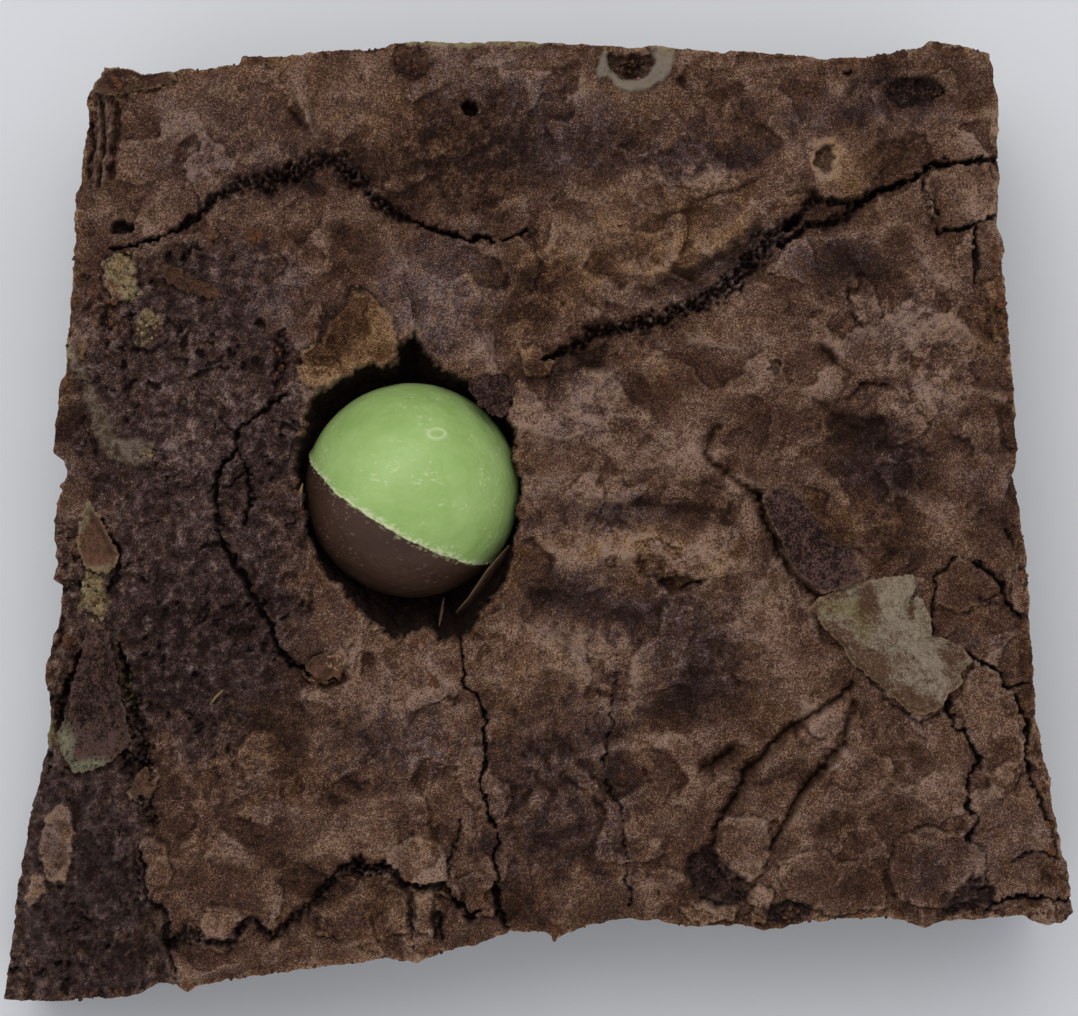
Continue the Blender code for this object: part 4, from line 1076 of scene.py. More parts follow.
class Crust:
    """Height and masks of the crust, as functions of the plan."""

    jag_broad = 4.2
    jag_fine = 3.0
    jag_grit = 1.3
    pit_lip = 2.6
    pit_lip_drop = 0.0012
    pit_cut = 2.2
    base_tone = 0.395
    fold_gain = 2.3
    wrinkle_gain = 1.8
    rubble_height = 0.0005
    grit_size = 4.8
    edge_roll = 0.0020
    edge_drop = 0.0006
    free_height = SLAB_HEIGHT + 0.0012
    top_room = 0.0008
    fold_shading = 0.07
    crease_gain = 2.2
    crease_highlight = 0.26
    crease_shade = 0.36
    ring_blister = (846, 170)
    rim_lift = 0.5
    rim_tone = 0.20
    rim_gold = 0.2
    bare_dark = 0.45
    gap_depth = 0.0005
    ring_jag = 0.35
    ring_rise = 0.0006
    streak_rise = 0.0005
    corner_edge_rise = 0.0010
    corner_gap_depth = 0.0016
    corner_gap_dark = 0.65
    crack_spread = 2.8
    crack_lip = 0.00014
    hole_lip = 0.0003
    pit_rim = 0.00025
    relief_shading = 0.0021
    step_lines = ((46.0, 75, 0.00013), (22.0, 77, 0.00007))
    rubble_relief = 0.00024
    pore_relief = 0.00055
    prick_relief = 0.0002

    def swell(self, x: Array, y: Array) -> Array:
        """Sum of seeded sine waves, 8 to 30 mm long, in metres."""
        draw = np.random.default_rng(SWELL_SEED)
        total = np.zeros(x.shape)
        for _ in range(SWELL_WAVES):
            wave_length = draw.uniform(0.008, 0.030)
            heading = draw.uniform(0.0, math.tau)
            phase = draw.uniform(0.0, math.tau)
            across = x * math.cos(heading) + y * math.sin(heading)
            total += SWELL_HEIGHT * np.sin(math.tau * across / wave_length + phase)
        return total

    def shoulder(self, x: Array, y: Array) -> tuple[Array, Array]:
        """Fall of the slumped left side: an eased step at a line, then a slope to the edge.

        Args:
            x: Metres to the right.
            y: Metres to the back.

        Returns:
            The fall in metres, and a mask of where the shoulder is.
        """
        line = to_metres(SHOULDER_LINE)[::-1]
        edge = to_metres(SHOULDER_EDGE)[::-1]
        step_x = np.interp(y, line[:, 1], line[:, 0])
        edge_x = np.interp(y, edge[:, 1], edge[:, 0])
        inside = ease((line[-1, 1] - y) / 0.004)
        to_front = ease((line[-1, 1] - y) / (line[-1, 1] - line[0, 1]))
        fall = SHOULDER_FALL_BACK + (SHOULDER_FALL_FRONT - SHOULDER_FALL_BACK) * to_front ** 1.5
        share = np.clip((step_x - x) / np.maximum(step_x - edge_x, 0.001), 0.0, 1.0)
        over = ease((step_x - x) / 0.0007)
        return inside * (SHOULDER_STEP * over + (fall - SHOULDER_STEP) * share ** 1.2), inside * over

    def edge_fall(self, away: Array) -> Array:
        """Fall of the crust near the cut edge, for a distance to it in squares."""
        return self.edge_drop * (1.0 - ease(away * SQUARE / self.edge_roll))

    def terrace(self, x: Array, y: Array) -> Array:
        """Fall outside the layered flakes of the back left corner, in two eased steps."""
        line = to_metres(TERRACE_LINE)[::-1]
        step_x = np.interp(y, line[:, 1], line[:, 0])
        ends = ease((y - line[0, 1]) / 0.004) * ease((line[-1, 1] + 0.002 - y) / 0.004)
        first = ease((step_x - x) / 0.0005)
        second = ease((step_x - x - 0.0011) / 0.0005)
        return TERRACE_FALL * ends * (first * 0.45 + second * 0.55)

    def start(self, x: Array, y: Array) -> Canvas:
        """Lay out the jagged coordinates, the soft patches and the slab's broad shape.

        Args:
            x: Metres to the right, flat array.
            y: Metres to the back, flat array.

        Returns:
            The canvas with its broad height and colours.
        """
        sx, sy = to_squares(x, y)
        spot = flat_points(sx, sy)
        jags = [self.jag_broad * noise(spot, 17.0, seed) + self.jag_fine * noise(spot, 6.0, seed + 1)
                + self.jag_grit * noise(spot, 2.8, seed + 2) for seed in (3, 6)]
        cloud = layers(spot, 60.0, 3, 21)
        drift = layers(spot, 44.0, 3, 24)
        cx = sx + 13 * cloud + 1.6 * jags[0] + 7 * noise(spot, 9.0, 27) + 3.5 * noise(spot, 4.2, 47)
        cy = sy + 11 * drift + 1.6 * jags[1] + 7 * noise(spot, 9.0, 28) + 3.5 * noise(spot, 4.2, 48)
        shoulder_fall, shoulder = self.shoulder(x + jags[0] * SQUARE * 1.5, y)
        height = SLAB_HEIGHT + self.swell(x, y) - shoulder_fall - self.terrace(x + jags[0] * SQUARE, y)
        crumb = sum(patch.weight(cx, cy) for patch in CRUMB) + 0.30 * noise(spot, 24.0, 30)
        crumb += 0.22 * noise(spot, 9.0, 31) + 0.12 * noise(spot, 4.0, 32)
        crumb = ease((np.maximum(crumb, shoulder) - 0.38) / 0.4)
        grainy = np.clip(1.5 * layers(spot, 13.0, 4, 46, 0.85), -1.2, 1.2)
        tone = self.base_tone + sum(patch.weight(cx, cy) for patch in TONES) * (1.0 + 0.75 * grainy)
        gold = sum(patch.weight(cx, cy) for patch in GOLD) * (1.0 - 0.7 * grainy)
        plum = sum(patch.weight(cx, cy) for patch in PLUM) * (1.0 - 0.8 * grainy)
        mottled = 0.22 + sum(patch.weight(cx, cy) for patch in MOTTLED)
        blotch = noise(spot, 19.0, 33) + 0.8 * noise(spot, 8.5, 34) + 0.6 * noise(spot, 4.2, 43)
        blotch = ease((blotch - 0.10) / 0.20) * np.clip(mottled, 0, 1)
        tone = tone - 0.14 * blotch + 0.04 * mottled
        plum = plum + 0.55 * blotch
        mint = sum(patch.weight(sx + jags[0], sy + jags[1]) for patch in MINT)
        mint = ease((mint + 0.35 * noise(spot, 5.0, 41) - 0.28) / 0.3)
        gold = gold + mint
        zero = np.zeros(x.shape)
        jx, jy = sx + jags[0], sy + jags[1]
        return Canvas(sx, sy, spot, jx, jy, height, tone, gold, plum, mint, crumb, zero)

    def fold(self, canvas: Canvas) -> None:
        """Add the folds, creases and blisters: round and sharp ridges, and flat-topped domes.

        Raised folds and creases are painted lighter and sunk ones darker: painted light and shade. The ring
        blister at the back right gets a painted highlight on its front left side.
        """
        for run, half, rise in FOLDS:
            away, _ = run.measure(canvas.jx, canvas.jy, half * 4)
            shape = bell(away, half)
            canvas.height += self.fold_gain * rise * shape
            # Painted light and shade: raised folds lighter, sunk folds darker.
            canvas.tone += shape * (self.fold_shading if rise > 0 else -self.fold_shading)
        for run, half, rise in CREASES:
            away, _ = run.measure(canvas.sx + 1.6 * (canvas.jx - canvas.sx) * 0.6,
                                  canvas.sy + (canvas.jy - canvas.sy) * 0.6, half * 5)
            shape = np.exp(-np.abs(away) / (half * 0.65))
            canvas.height += self.crease_gain * rise * shape
            # Painted highlight on rising creases, painted shade in sunk ones.
            canvas.tone += shape * (self.crease_highlight if rise > 0 else -self.crease_shade)
        ring_x, ring_y = self.ring_blister
        swollen = np.hypot(canvas.jx - ring_x, canvas.jy - ring_y)
        highlit_side = ease((canvas.sy - canvas.sx + (ring_x - ring_y)) / 30.0)
        # Painted highlight on the blister's front left side.
        canvas.tone += 0.22 * bell(swollen - 28.0, 5.0) * highlit_side
        canvas.gold += 0.5 * np.exp(-(swollen / 30.0) ** 4)
        for cx, cy, half, rise in BLISTERS:
            canvas.height += rise * np.exp(-(np.hypot(canvas.jx - cx, canvas.jy - cy) / half) ** 4)

    def tear(self, canvas: Canvas) -> None:
        """Add the torn plates: a step at each jagged outline, a lifted rim and a gap darkened by painted
        shade. A bare plate is darkened too: partly its darker crumb, partly painted shade of its recess.
        """
        patchy = 0.3 + 0.7 * ease(noise(canvas.spot, 13.0, 35) * 1.4 + 0.6)
        for plate in PLATES:
            signed = Run(plate.outline, True).inside(canvas.jx, canvas.jy, 24.0)
            inside = ease(signed / 2.2 + 0.5)
            rim = bell(np.abs(signed) - 1.6, 1.8) * (signed > -1)
            canvas.height += plate.rise * inside + abs(plate.rise) * self.rim_lift * rim * (not plate.bare)
            canvas.tone += plate.tone * inside + self.rim_tone * rim * (not plate.bare)
            canvas.gold += plate.gold * inside + self.rim_gold * rim
            canvas.plum += plate.plum * inside
            # A bare plate darkens: partly its darker crumb, partly painted shade of its recess.
            if plate.bare:
                canvas.crumb = np.maximum(canvas.crumb, inside)
                canvas.paint_shade(self.bare_dark * inside)
            else:
                canvas.crumb = np.minimum(canvas.crumb, 1.0 - inside)
                canvas.plum *= 1.0 - 0.6 * inside * min(1.0, plate.tone * 6)
            # The gap round the plate gets painted shade.
            gap = bell(signed + 2.0, 1.5) * patchy * plate.crack
            canvas.height -= self.gap_depth * gap
            canvas.paint_shade(gap)

    def mint_parts(self, canvas: Canvas) -> None:
        """Lay the thin mint ring and the olive streak over the crust."""
        signed = MINT_RING.inside(canvas.sx + self.ring_jag * (canvas.jx - canvas.sx),
                                  canvas.sy + self.ring_jag * (canvas.jy - canvas.sy), 20.0)
        ring = ease(signed / 1.4 + 0.5)
        canvas.mint = np.maximum(canvas.mint, ring)
        canvas.height += self.ring_rise * ring
        canvas.tone += 0.22 * ring
        canvas.painted_shade *= 1.0 - ring
        canvas.gold *= 1.0 - ring
        away, half = MINT_STREAK.measure(canvas.jx, canvas.jy, 24.0)
        streak = ease((half - away) / 5.0)
        canvas.mint = np.maximum(canvas.mint, streak * (0.62 + 0.3 * noise(canvas.spot, 7.0, 42)))
        canvas.height += self.streak_rise * streak
        canvas.tone += 0.02 * streak
        calm_x, calm_y = (canvas.jx + canvas.sx) / 2, (canvas.jy + canvas.sy) / 2
        for run in CORNER_EDGES:
            away, half = run.measure(calm_x, calm_y, 16.0)
            edge = bell(away, np.maximum(half, 1.0)) * ease(0.6 + 1.8 * noise(canvas.spot, 14.0, 44))
            canvas.height += self.corner_edge_rise * edge
            canvas.tone += 0.30 * edge
        for run in CORNER_GAPS:
            away, half = run.measure(calm_x, calm_y, 16.0)
            gap = ease((half * (0.9 + 0.9 * noise(canvas.spot, 11.0, 49)) + 0.6 - away) / 2.0)
            canvas.height -= self.corner_gap_depth * gap
            # Painted shade in the corner's gaps.
            canvas.paint_shade(self.corner_gap_dark * gap)

    def break_open(self, canvas: Canvas) -> None:
        """Cut the cracks and holes, and strew rough crumbs inside them.

        A crack's depth eases in from its torn edge; wide cracks hold grit, an eased sum
        of two fine noises, that stands up from their floor. Cracks and holes get painted
        shade, and a band of painted shade darkens the mouth of wide cracks.
        """
        grit = ease(0.42 + 1.2 * noise(canvas.spot, self.grit_size, 73) + 0.9 * noise(canvas.spot, 2.5, 74))
        ragged = 1.0 + 0.7 * noise(canvas.spot, 12.0, 36) + 0.4 * noise(canvas.spot, 4.4, 37)
        shake = 2.4 * noise(canvas.spot, 5.5, 38) + 1.4 * noise(canvas.spot, 2.7, 39)
        for item in CRACKS:
            away, half = item.run.measure(canvas.jx, canvas.jy, 24.0)
            wide = ease((half - 2.5) / 3.0)
            away = away + wide * shake
            half = half * ragged + self.crack_spread * wide
            inside = ease((half * 1.05 - away) / np.maximum(half * 0.8, 1.3))
            canvas.height -= item.depth * inside * (1.0 - 0.85 * grit * wide)
            canvas.height += self.crack_lip * bell(away - half - 2.2, 2.6)
            # Painted shade in the crack, less on the grit of wide cracks, and a band of painted shade beside
            # wide cracks.
            dark = ease((half + 0.7 - away) / 1.8) * min(1.0, 0.45 + item.depth / 0.0022)
            canvas.paint_shade(dark * (1.0 - wide * (0.24 + 0.72 * grit)))
            canvas.plum += 0.6 * inside
            canvas.tone -= 0.10 * bell(away - half, 4.0) * wide
        # Holes: painted shade inside, less where the rim is bright.
        for cx, cy, wide, deep, depth, lit in HOLES:
            away = np.hypot((canvas.jx - cx) / wide, (canvas.jy - cy) / deep)
            inside = ease((1.1 - away) / 0.3)
            rim = bell(away - 1.25, 0.22)
            canvas.height += self.hole_lip * rim - depth * inside
            canvas.tone += lit * rim
            canvas.gold += lit * (rim + inside)
            canvas.paint_shade(inside * min(1.0, depth / 0.0014) * (1.0 - 0.6 * lit))
        canvas.height += (grit - 0.4) * canvas.painted_shade * (1.0 - canvas.painted_shade) * self.rubble_height * 2

    def evaluate(self, x: Array, y: Array) -> tuple[Array, dict[str, Array]]:
        """Work out the crust at plan places.

        The height is the slab's height plus swell, folds, blisters, torn plates and
        wrinkles, less cracks, holes, shoulder, terrace and the pit's lip. Cracks and
        plates are measured on jagged coordinates, which tears their edges.

        Args:
            x: Metres to the right, flat array.
            y: Metres to the back, flat array.

        Returns:
            Heights in metres, and the finish's masks with the signed distance to the pit.
        """
        canvas = self.start(x, y)
        self.fold(canvas)
        self.tear(canvas)
        wrinkle = self.relief(canvas)
        canvas.height += wrinkle
        self.mint_parts(canvas)
        self.break_open(canvas)
        signed = PIT_EDGE.inside(canvas.jx, canvas.jy, PIT_MOUTH_REACH)
        canvas.height -= self.pit_lip_drop * ease(signed / self.pit_lip)
        canvas.height += self.pit_rim * bell(signed + 3.5, 3.0)
        canvas.gold += 0.4 * bell(signed + 3.0, 4.0)
        canvas.tone += 0.10 * bell(signed + 2.5, 2.0)
        # Painted shade: the gap between the crust's torn edge and the ball is darkened.
        canvas.painted_shade *= ease((3.0 - signed) / 3.0)
        canvas.paint_shade(ease((signed - 0.6) / 1.8))
        spot = canvas.spot
        canvas.tone += (0.06 * noise(spot, 38.0, 51) + 0.03 * noise(spot, 16.0, 52)
                        + 0.04 * noise(spot, 7.0, 53))
        canvas.tone += 0.06 * noise(spot, 3.8, 57)
        canvas.gold += 0.45 * noise(spot, 26.0, 54) + 0.3 * noise(spot, 10.0, 55) - 0.05
        canvas.plum += 0.3 * noise(spot, 30.0, 56)
        # Painted light and shade: the tone follows the wrinkles' height, raised parts lighter and hollows
        # darker.
        canvas.tone += wrinkle / self.relief_shading - 0.02 * canvas.crumb
        over = np.maximum(canvas.height - self.free_height, 0.0)
        canvas.height -= over - self.top_room * (1.0 - np.exp(-over / self.top_room))
        return canvas.height, {**canvas.masks(), "pit": signed}

    def relief(self, canvas: Canvas) -> Array:
        """Wrinkles of the papery crust and pores of the bare crumb.

        Wrinkles are folded noise (its absolute value) at two scales, creases where two
        seeds are equally near, flat plates round seeds, and fine grain. Where a noise
        crosses zero the paper steps up by its hyperbolic tangent, with a hairline of painted
        shade at the foot and a painted highlight on the edge on top. Pores are seeds' hollows
        of two sizes, which come in drifts where the crumb is bare; they get painted shade.
        In the bare crumb the tone follows the rubble's height: partly painted light and
        shade, partly the crumb's own mottle.

        Args:
            canvas: The crust under way; its tone, gold and painted shade masks are changed.

        Returns:
            Relief in metres.
        """
        spot = canvas.spot
        jags = flat_points(canvas.jx - canvas.sx, canvas.jy - canvas.sy)
        bent = spot + flat_points(noise(spot, 40.0, 58), noise(spot, 40.0, 59)) * 16
        tilted = np.stack((bent[:, 0] * 0.75 + bent[:, 1] * 0.55, bent[:, 1] * 1.25 - bent[:, 0] * 0.35,
                           bent[:, 2]), axis=-1)
        broad = 0.5 - np.abs(noise(tilted, 84.0, 61))
        medium = 0.45 - np.abs(noise(tilted, 38.0, 62))
        near, next_near, _ = cells(tilted, 36.0, 60, True)
        crease = -ease(1.0 - (next_near - near) / 0.16)
        low, high, level = cells(bent + jags, 52.0, 45, True)
        plate = (level - 0.4) * ease((high - low) / 0.30)
        small = noise(spot, 14.0, 63)
        fine = noise(spot, 6.5, 64)
        grain = noise(spot, 3.4, 65)
        paper = 0.00044 * broad + 0.00026 * medium + 0.00004 * crease + 0.00018 * plate
        paper += 0.00009 * small + 0.00009 * fine + 0.00006 * grain
        for size, seed, step in self.step_lines:
            line = noise(bent + jags * 0.8, size, seed)
            where = ease((noise(spot, 58.0, seed + 1) + 0.05) / 0.3)
            hair = bell(line + 0.03, 0.035) * where
            paper += step * np.tanh(line / 0.05) * where - 0.7 * step * hair
            # Painted shade along the hairline at each step's foot, and a painted highlight on the step's
            # edge.
            canvas.tone -= 0.13 * hair * (1.0 - canvas.crumb)
            canvas.tone += 0.10 * bell(line - 0.06, 0.04) * where * (1.0 - canvas.crumb)
        drifts = ease(noise(spot, 46.0, 67) * 1.3 + 0.45)
        torn = bent + jags * 1.1
        slanted = np.stack((torn[:, 0] * 0.62 - torn[:, 1] * 0.50, torn[:, 0] * 0.85 + torn[:, 1] * 1.05,
                            torn[:, 2]), axis=-1)
        large, _, which = cells(slanted, 15.0, 71, True)
        pores = ease((0.50 * which ** 2 * drifts - large + 0.02) / 0.09)
        tiny, _, often = cells(slanted, 6.0, 72, True)
        pricks = ease((0.40 * often - tiny) / 0.14) * (often > 0.35) * (0.4 + 0.6 * drifts)
        rubble = np.clip(layers(spot, 11.0, 3, 66, 0.8), -1.0, 1.0)
        # The bare crumb's tone rises with the rubble's height: partly painted light and shade, partly its own
        # mottle. Pores and pinpricks get painted shade.
        canvas.tone += 0.22 * rubble * canvas.crumb
        canvas.gold += 0.5 * noise(spot, 12.0, 68) * canvas.crumb
        canvas.paint_shade(canvas.crumb * (0.8 * pores + 0.6 * pricks))
        rough = self.rubble_relief * rubble - self.pore_relief * pores - self.prick_relief * pricks
        return self.wrinkle_gain * paper * (1.0 - 0.5 * canvas.crumb) + canvas.crumb * rough


class Slab:
    """The brownie: crust in four tiles, four cut sides, the underside and the pit's wall."""

    node = "brownie"
    slot = "crust"
    cells_across = 600
    cells_deep = 550
    side_rows = 92
    side_steps = range(-13, 14)
    side_spacing = 1.08
    calm_depth = 0.005
    undercut = 0.0009
    edge_jag = 0.00020
    crumb_relief = 0.00036
    pore_relief = 0.00060
    prick_relief = 0.00018
    flaky_relief = 0.00024
    pit_columns = 520
    pit_rows = 84
    pit_spacing = 1.2
    pit_depths = (0.0, 0.0012, 0.0045, 0.0085, 0.0125, 0.0139, 0.0142)
    pit_shares = (1.035, 1.02, 0.97, 0.86, 0.62, 0.3, 0.0)
    pit_start = 0.0003
    foot_gap = 0.0006
    seat_gap = 0.0004
    under_rings = 16

    def __init__(self, crust: Crust, finish: bpy.types.Material) -> None:
        """Read the solid's box, which the dressed slab keeps inside."""
        self.crust = crust
        self.finish = finish
        low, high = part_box(self.node)
        self.low = np.array(low)
        self.high = np.array(high)

    def plan_grid(self, across: int, deep: int) -> Array:
        """Blend the four edges into a grid of plan places.

        Each place is the blend of front and back, plus that of left and right, less the
        blend of the four corners.

        Args:
            across: Cells from left to right.
            deep: Cells from front to back.

        Returns:
            Places in metres, shape (deep + 1, across + 1, 2).
        """
        back = Edge.BACK.line(across + 1)
        front = Edge.FRONT.line(across + 1)
        left = Edge.LEFT.line(deep + 1)[::-1]
        right = Edge.RIGHT.line(deep + 1)[::-1]
        u = np.linspace(0.0, 1.0, across + 1)[None, :, None]
        v = np.linspace(0.0, 1.0, deep + 1)[:, None, None]
        grid = (1 - v) * front[None] + v * back[None] + (1 - u) * left[:, None] + u * right[:, None]
        grid -= (1 - u) * (1 - v) * front[0] + u * (1 - v) * front[-1]
        grid -= (1 - u) * v * back[0] + u * v * back[-1]
        return grid

    def rim(self) -> Array:
        """Vertex numbers round the crust, anticlockwise from the front left corner."""
        numbers = np.arange((self.cells_across + 1) * (self.cells_deep + 1))
        numbers = numbers.reshape(self.cells_deep + 1, self.cells_across + 1)
        return np.concatenate((numbers[0, :-1], numbers[:-1, -1], numbers[-1, :0:-1], numbers[:0:-1, 0]))

    def outward(self, ring: Array, reach: int = 14) -> Array:
        """Unit outward directions along a closed ring, from places reach steps apart."""
        way = np.roll(ring, -reach, axis=0) - np.roll(ring, reach, axis=0)
        normal = np.column_stack((way[:, 1], -way[:, 0]))
        return normal / np.linalg.norm(normal, axis=1, keepdims=True)

    def crust_skin(self) -> Skin:
        """Crust as one skin: ragged plan grid raised by the crust's height."""
        grid = self.plan_grid(self.cells_across, self.cells_deep).reshape(-1, 2)
        rim = self.rim()
        ring = grid[rim]
        place = np.column_stack((ring / SQUARE, np.zeros(len(ring))))
        shake = layers(place, 22.0, 4, 81, 0.6)
        grid[rim] += self.outward(ring) * (self.edge_jag * shake)[:, None]
        grid = np.clip(grid, self.low[:2], self.high[:2])
        height, masks = self.crust.evaluate(grid[:, 0], grid[:, 1])
        outline = Run(tuple(map(tuple, np.column_stack(to_squares(*grid[rim[::12]].T)))), True)
        away, _ = outline.measure(*to_squares(grid[:, 0], grid[:, 1]))
        height -= self.crust.edge_fall(away)
        crisp = np.exp(-away / 3.5) * ease(0.6 + 1.4 * noise(flat_points(*to_squares(*grid.T)), 9.0, 86))
        masks["gold"] = np.clip(masks["gold"] + crisp, 0.0, 1.0)
        masks["tone"] = np.clip(masks["tone"] + 0.30 * crisp, 0.0, 1.0)
        places = np.column_stack((grid, height))
        return Skin(places, grid_faces(self.cells_deep + 1, self.cells_across + 1), masks)

    def build_crust(self, skin: Skin) -> None:
        """Cut the crust skin round the pit and make four tiles of it."""
        open_pit = skin.masks.pop("pit")[skin.faces].min(axis=1) < self.crust.pit_cut
        middle = skin.faces[:, 0]
        row = middle // (self.cells_across + 1)
        column = middle % (self.cells_across + 1)
        behind = row >= self.cells_deep // 2
        rightward = column >= self.cells_across // 2
        for name, wanted in (("crust_front_left", ~behind & ~rightward),
                             ("crust_front_right", ~behind & rightward),
                             ("crust_back_left", behind & ~rightward),
                             ("crust_back_right", behind & rightward)):
            show(name, skin.keep(open_pit & wanted), self.finish, self.node)

    def build_sides(self, skin: Skin) -> Array:
        """Hang a porous cut side from each edge of the crust down to the table.

        A row's place is the rim's place, calmed to its running mean with depth, moved
        inwards by the undercut's share, then outwards by the crumb's relief; its height is
        the rim's height times the share left.

        Args:
            skin: The crust's skin, whose rim the sides share.

        Returns:
            The ring of places at the table, anticlockwise.
        """
        rim = self.rim()
        ring = skin.places[rim]
        normal = self.outward(ring[:, :2])
        shares = np.linspace(0.0, 1.0, self.side_rows + 1) ** self.side_spacing
        down = shares[:, None, None]
        plain = sum(np.roll(ring[:, :2], step, axis=0) for step in self.side_steps) / len(self.side_steps)
        calm = ease(down * SLAB_HEIGHT / self.calm_depth)
        base = ring[None, :, :2] * (1.0 - calm) + plain[None] * calm - normal[None] * self.undercut * down
        z = ring[None, :, 2] * (1.0 - shares[:, None])
        places = np.dstack((base, z)).reshape(-1, 3)
        depth = (ring[None, :, 2] - z).reshape(-1)
        relief, masks = self.side_relief(places, depth)
        places[:, :2] += np.tile(normal, (len(shares), 1)) * relief[:, None]
        places[:, :2] = np.clip(places[:, :2], self.low[:2], self.high[:2])
        places[: len(ring)] = ring
        places[-len(ring):, 2] = 0.0
        for mask in masks:
            if mask in skin.masks:
                masks[mask][: len(ring)] = skin.masks[mask][rim]
        faces = grid_faces(len(shares), len(ring), True)[:, ::-1]
        column = np.tile(np.arange(len(ring)), len(shares) - 1)
        starts = np.cumsum((0, self.cells_across, self.cells_deep, self.cells_across, self.cells_deep))
        whole = Skin(places, faces, masks)
        for k, name in enumerate(("side_front", "side_right", "side_back", "side_left")):
            wanted = (column >= starts[k]) & (column < starts[k + 1])
            show(name, whole.keep(wanted), self.finish, self.node)
        return places[-len(ring):]

    def side_relief(self, places: Array, depth: Array) -> tuple[Array, dict[str, Array]]:
        """Relief and masks of a cut side: ragged crumb with pores under a flaky crust.

        Args:
            places: Surface places in metres.
            depth: Metres under the crust.

        Returns:
            Outward relief in metres and the masks of the crust's finish.
        """
        spot = places / SQUARE
        rough = np.clip(layers(spot, 34.0, 4, 91, 0.75), -1.3, 1.3)
        bent = spot + np.stack([5.0 * noise(spot, 13.0, 85 + k) + 2.4 * noise(spot, 5.0, 88 + k)
                                for k in range(3)], axis=-1)
        large, _, which = cells(bent * (1.0, 1.0, 1.3), 30.0, 92)
        drifts = ease(noise(spot, 60.0, 98) * 1.3 + 0.5)
        pores = ease((0.50 * which ** 2 * drifts - large + 0.02) / 0.11)
        small, _, kind = cells(bent * (1.0, 1.0, 1.2), 13.0, 99)
        pores = np.maximum(pores, 0.8 * ease((0.42 * kind ** 2 - small) / 0.13))
        tiny, _, often = cells(bent, 7.0, 93)
        pricks = ease((0.34 - tiny) / 0.2) * (often > 0.5)
        layer = spot * (0.35, 0.35, 2.2)
        flaky = layers(layer, 14.0, 2, 94) * ease((0.0016 - depth) / 0.0008)
        relief = (self.crumb_relief * (rough - 0.9) - self.pore_relief * pores
                  - self.prick_relief * pricks + self.flaky_relief * flaky)
        fade = ease(depth / 0.0006) * ease((places[:, 2]) / 0.0004)
        # Painted shade darkens the pores and pinpricks; the tone also rises with the rough relief, partly
        # painted light and shade, partly the crumb's own mottle.
        tone = 0.44 + 0.16 * rough + 0.12 * noise(spot, 10.0, 95)
        skin_band = ease((0.0011 - depth) / 0.0005)
        masks = {"tone": np.clip(tone + 0.12 * skin_band, 0.0, 1.0),
                 "gold": np.clip(0.6 * skin_band + 0.4 * noise(spot, 40.0, 96), 0.0, 1.0),
                 "plum": np.clip(0.5 - 0.4 * skin_band + 0.4 * noise(spot, 28.0, 97), 0.0, 1.0),
                 "mint": np.zeros(len(places)),
                 "painted_shade": np.clip(0.75 * pores + 0.35 * pricks, 0.0, 1.0)}
        return relief * fade, masks

    def build_underside(self, ring: Array) -> None:
        """Close the slab underneath: rings from the sides' foot to one middle place.

        Args:
            ring: The sides' places at the table, anticlockwise.
        """
        count = len(ring)
        middle = ring.mean(axis=0)
        shares = np.linspace(1.0, 0.0, self.under_rings + 1)[:-1]
        rings = middle + (ring - middle)[None] * shares[:, None, None]
        places = np.vstack((rings.reshape(-1, 3), middle))
        quads = grid_faces(len(shares), count, True)[:, ::-1]
        last = len(places) - 1 - count + np.arange(count)
        fan = np.stack((np.roll(last, -1), last, np.full(count, len(places) - 1)), axis=-1)
        faces = np.vstack((quads[:, (0, 1, 2)], quads[:, (0, 2, 3)], fan))
        tone = np.clip(0.45 + 0.25 * layers(places / SQUARE, 40.0, 3, 101), 0.0, 1.0)
        zero = np.zeros(len(places))
        masks = {"tone": tone, "gold": zero + 0.2, "plum": zero + 0.4, "mint": zero, "painted_shade": zero}
        show("underside", Skin(places, faces, masks), self.finish, self.node)

    def build_pit(self) -> None:
        """Line the pit: from just under the crust's torn edge down and in below the ball.

        Round the ball each column follows the pit's edge. Going down, the radius shrinks
        by a table of shares to the seat and closes at its foot; crumb relief roughens it.
        """
        edge = to_metres(PIT_EDGE.points)
        middle = to_metres(BALL_AT)
        closed = np.vstack((edge, edge[:1]))
        along = walked(closed)
        wanted = np.linspace(0.0, along[-1], self.pit_columns, endpoint=False)
        ring = places_along(closed, along, wanted) - middle
        down = np.linspace(0.0, 1.0, self.pit_rows) ** self.pit_spacing
        foot = SLAB_HEIGHT + BALL_PROUD - BALL_RADIUS * 2 - self.foot_gap
        top = SLAB_HEIGHT - self.pit_start
        z = top + (foot - top) * down
        share = np.interp(-(z - SLAB_HEIGHT), self.pit_depths, self.pit_shares)
        places = np.dstack((middle + ring[None] * share[:, None, None],
                            np.repeat(z[:, None], self.pit_columns, axis=1))).reshape(-1, 3)
        centre = np.array((*middle, SLAB_HEIGHT + BALL_PROUD - BALL_RADIUS))
        way = places - centre
        length = np.linalg.norm(way, axis=1)
        seat = BALL_RADIUS + self.seat_gap
        spot = places / SQUARE
        rough = layers(spot, 16.0, 4, 111, 0.6)
        large, _, which = cells(spot, 14.0, 112)
        pores = ease((0.4 * which - large + 0.05) / 0.12)
        wanted_length = np.maximum(length, seat) + 0.00035 * (rough + 0.4) + 0.0004 * pores
        fade = np.repeat(ease(down / 0.05), self.pit_columns)
        wanted_length = length + (wanted_length - length) * fade
        places = centre + way * (np.maximum(wanted_length, seat) / length)[:, None]
        zero = np.zeros(len(places))
        tone = np.clip(0.30 + 0.2 * rough, 0.0, 1.0)
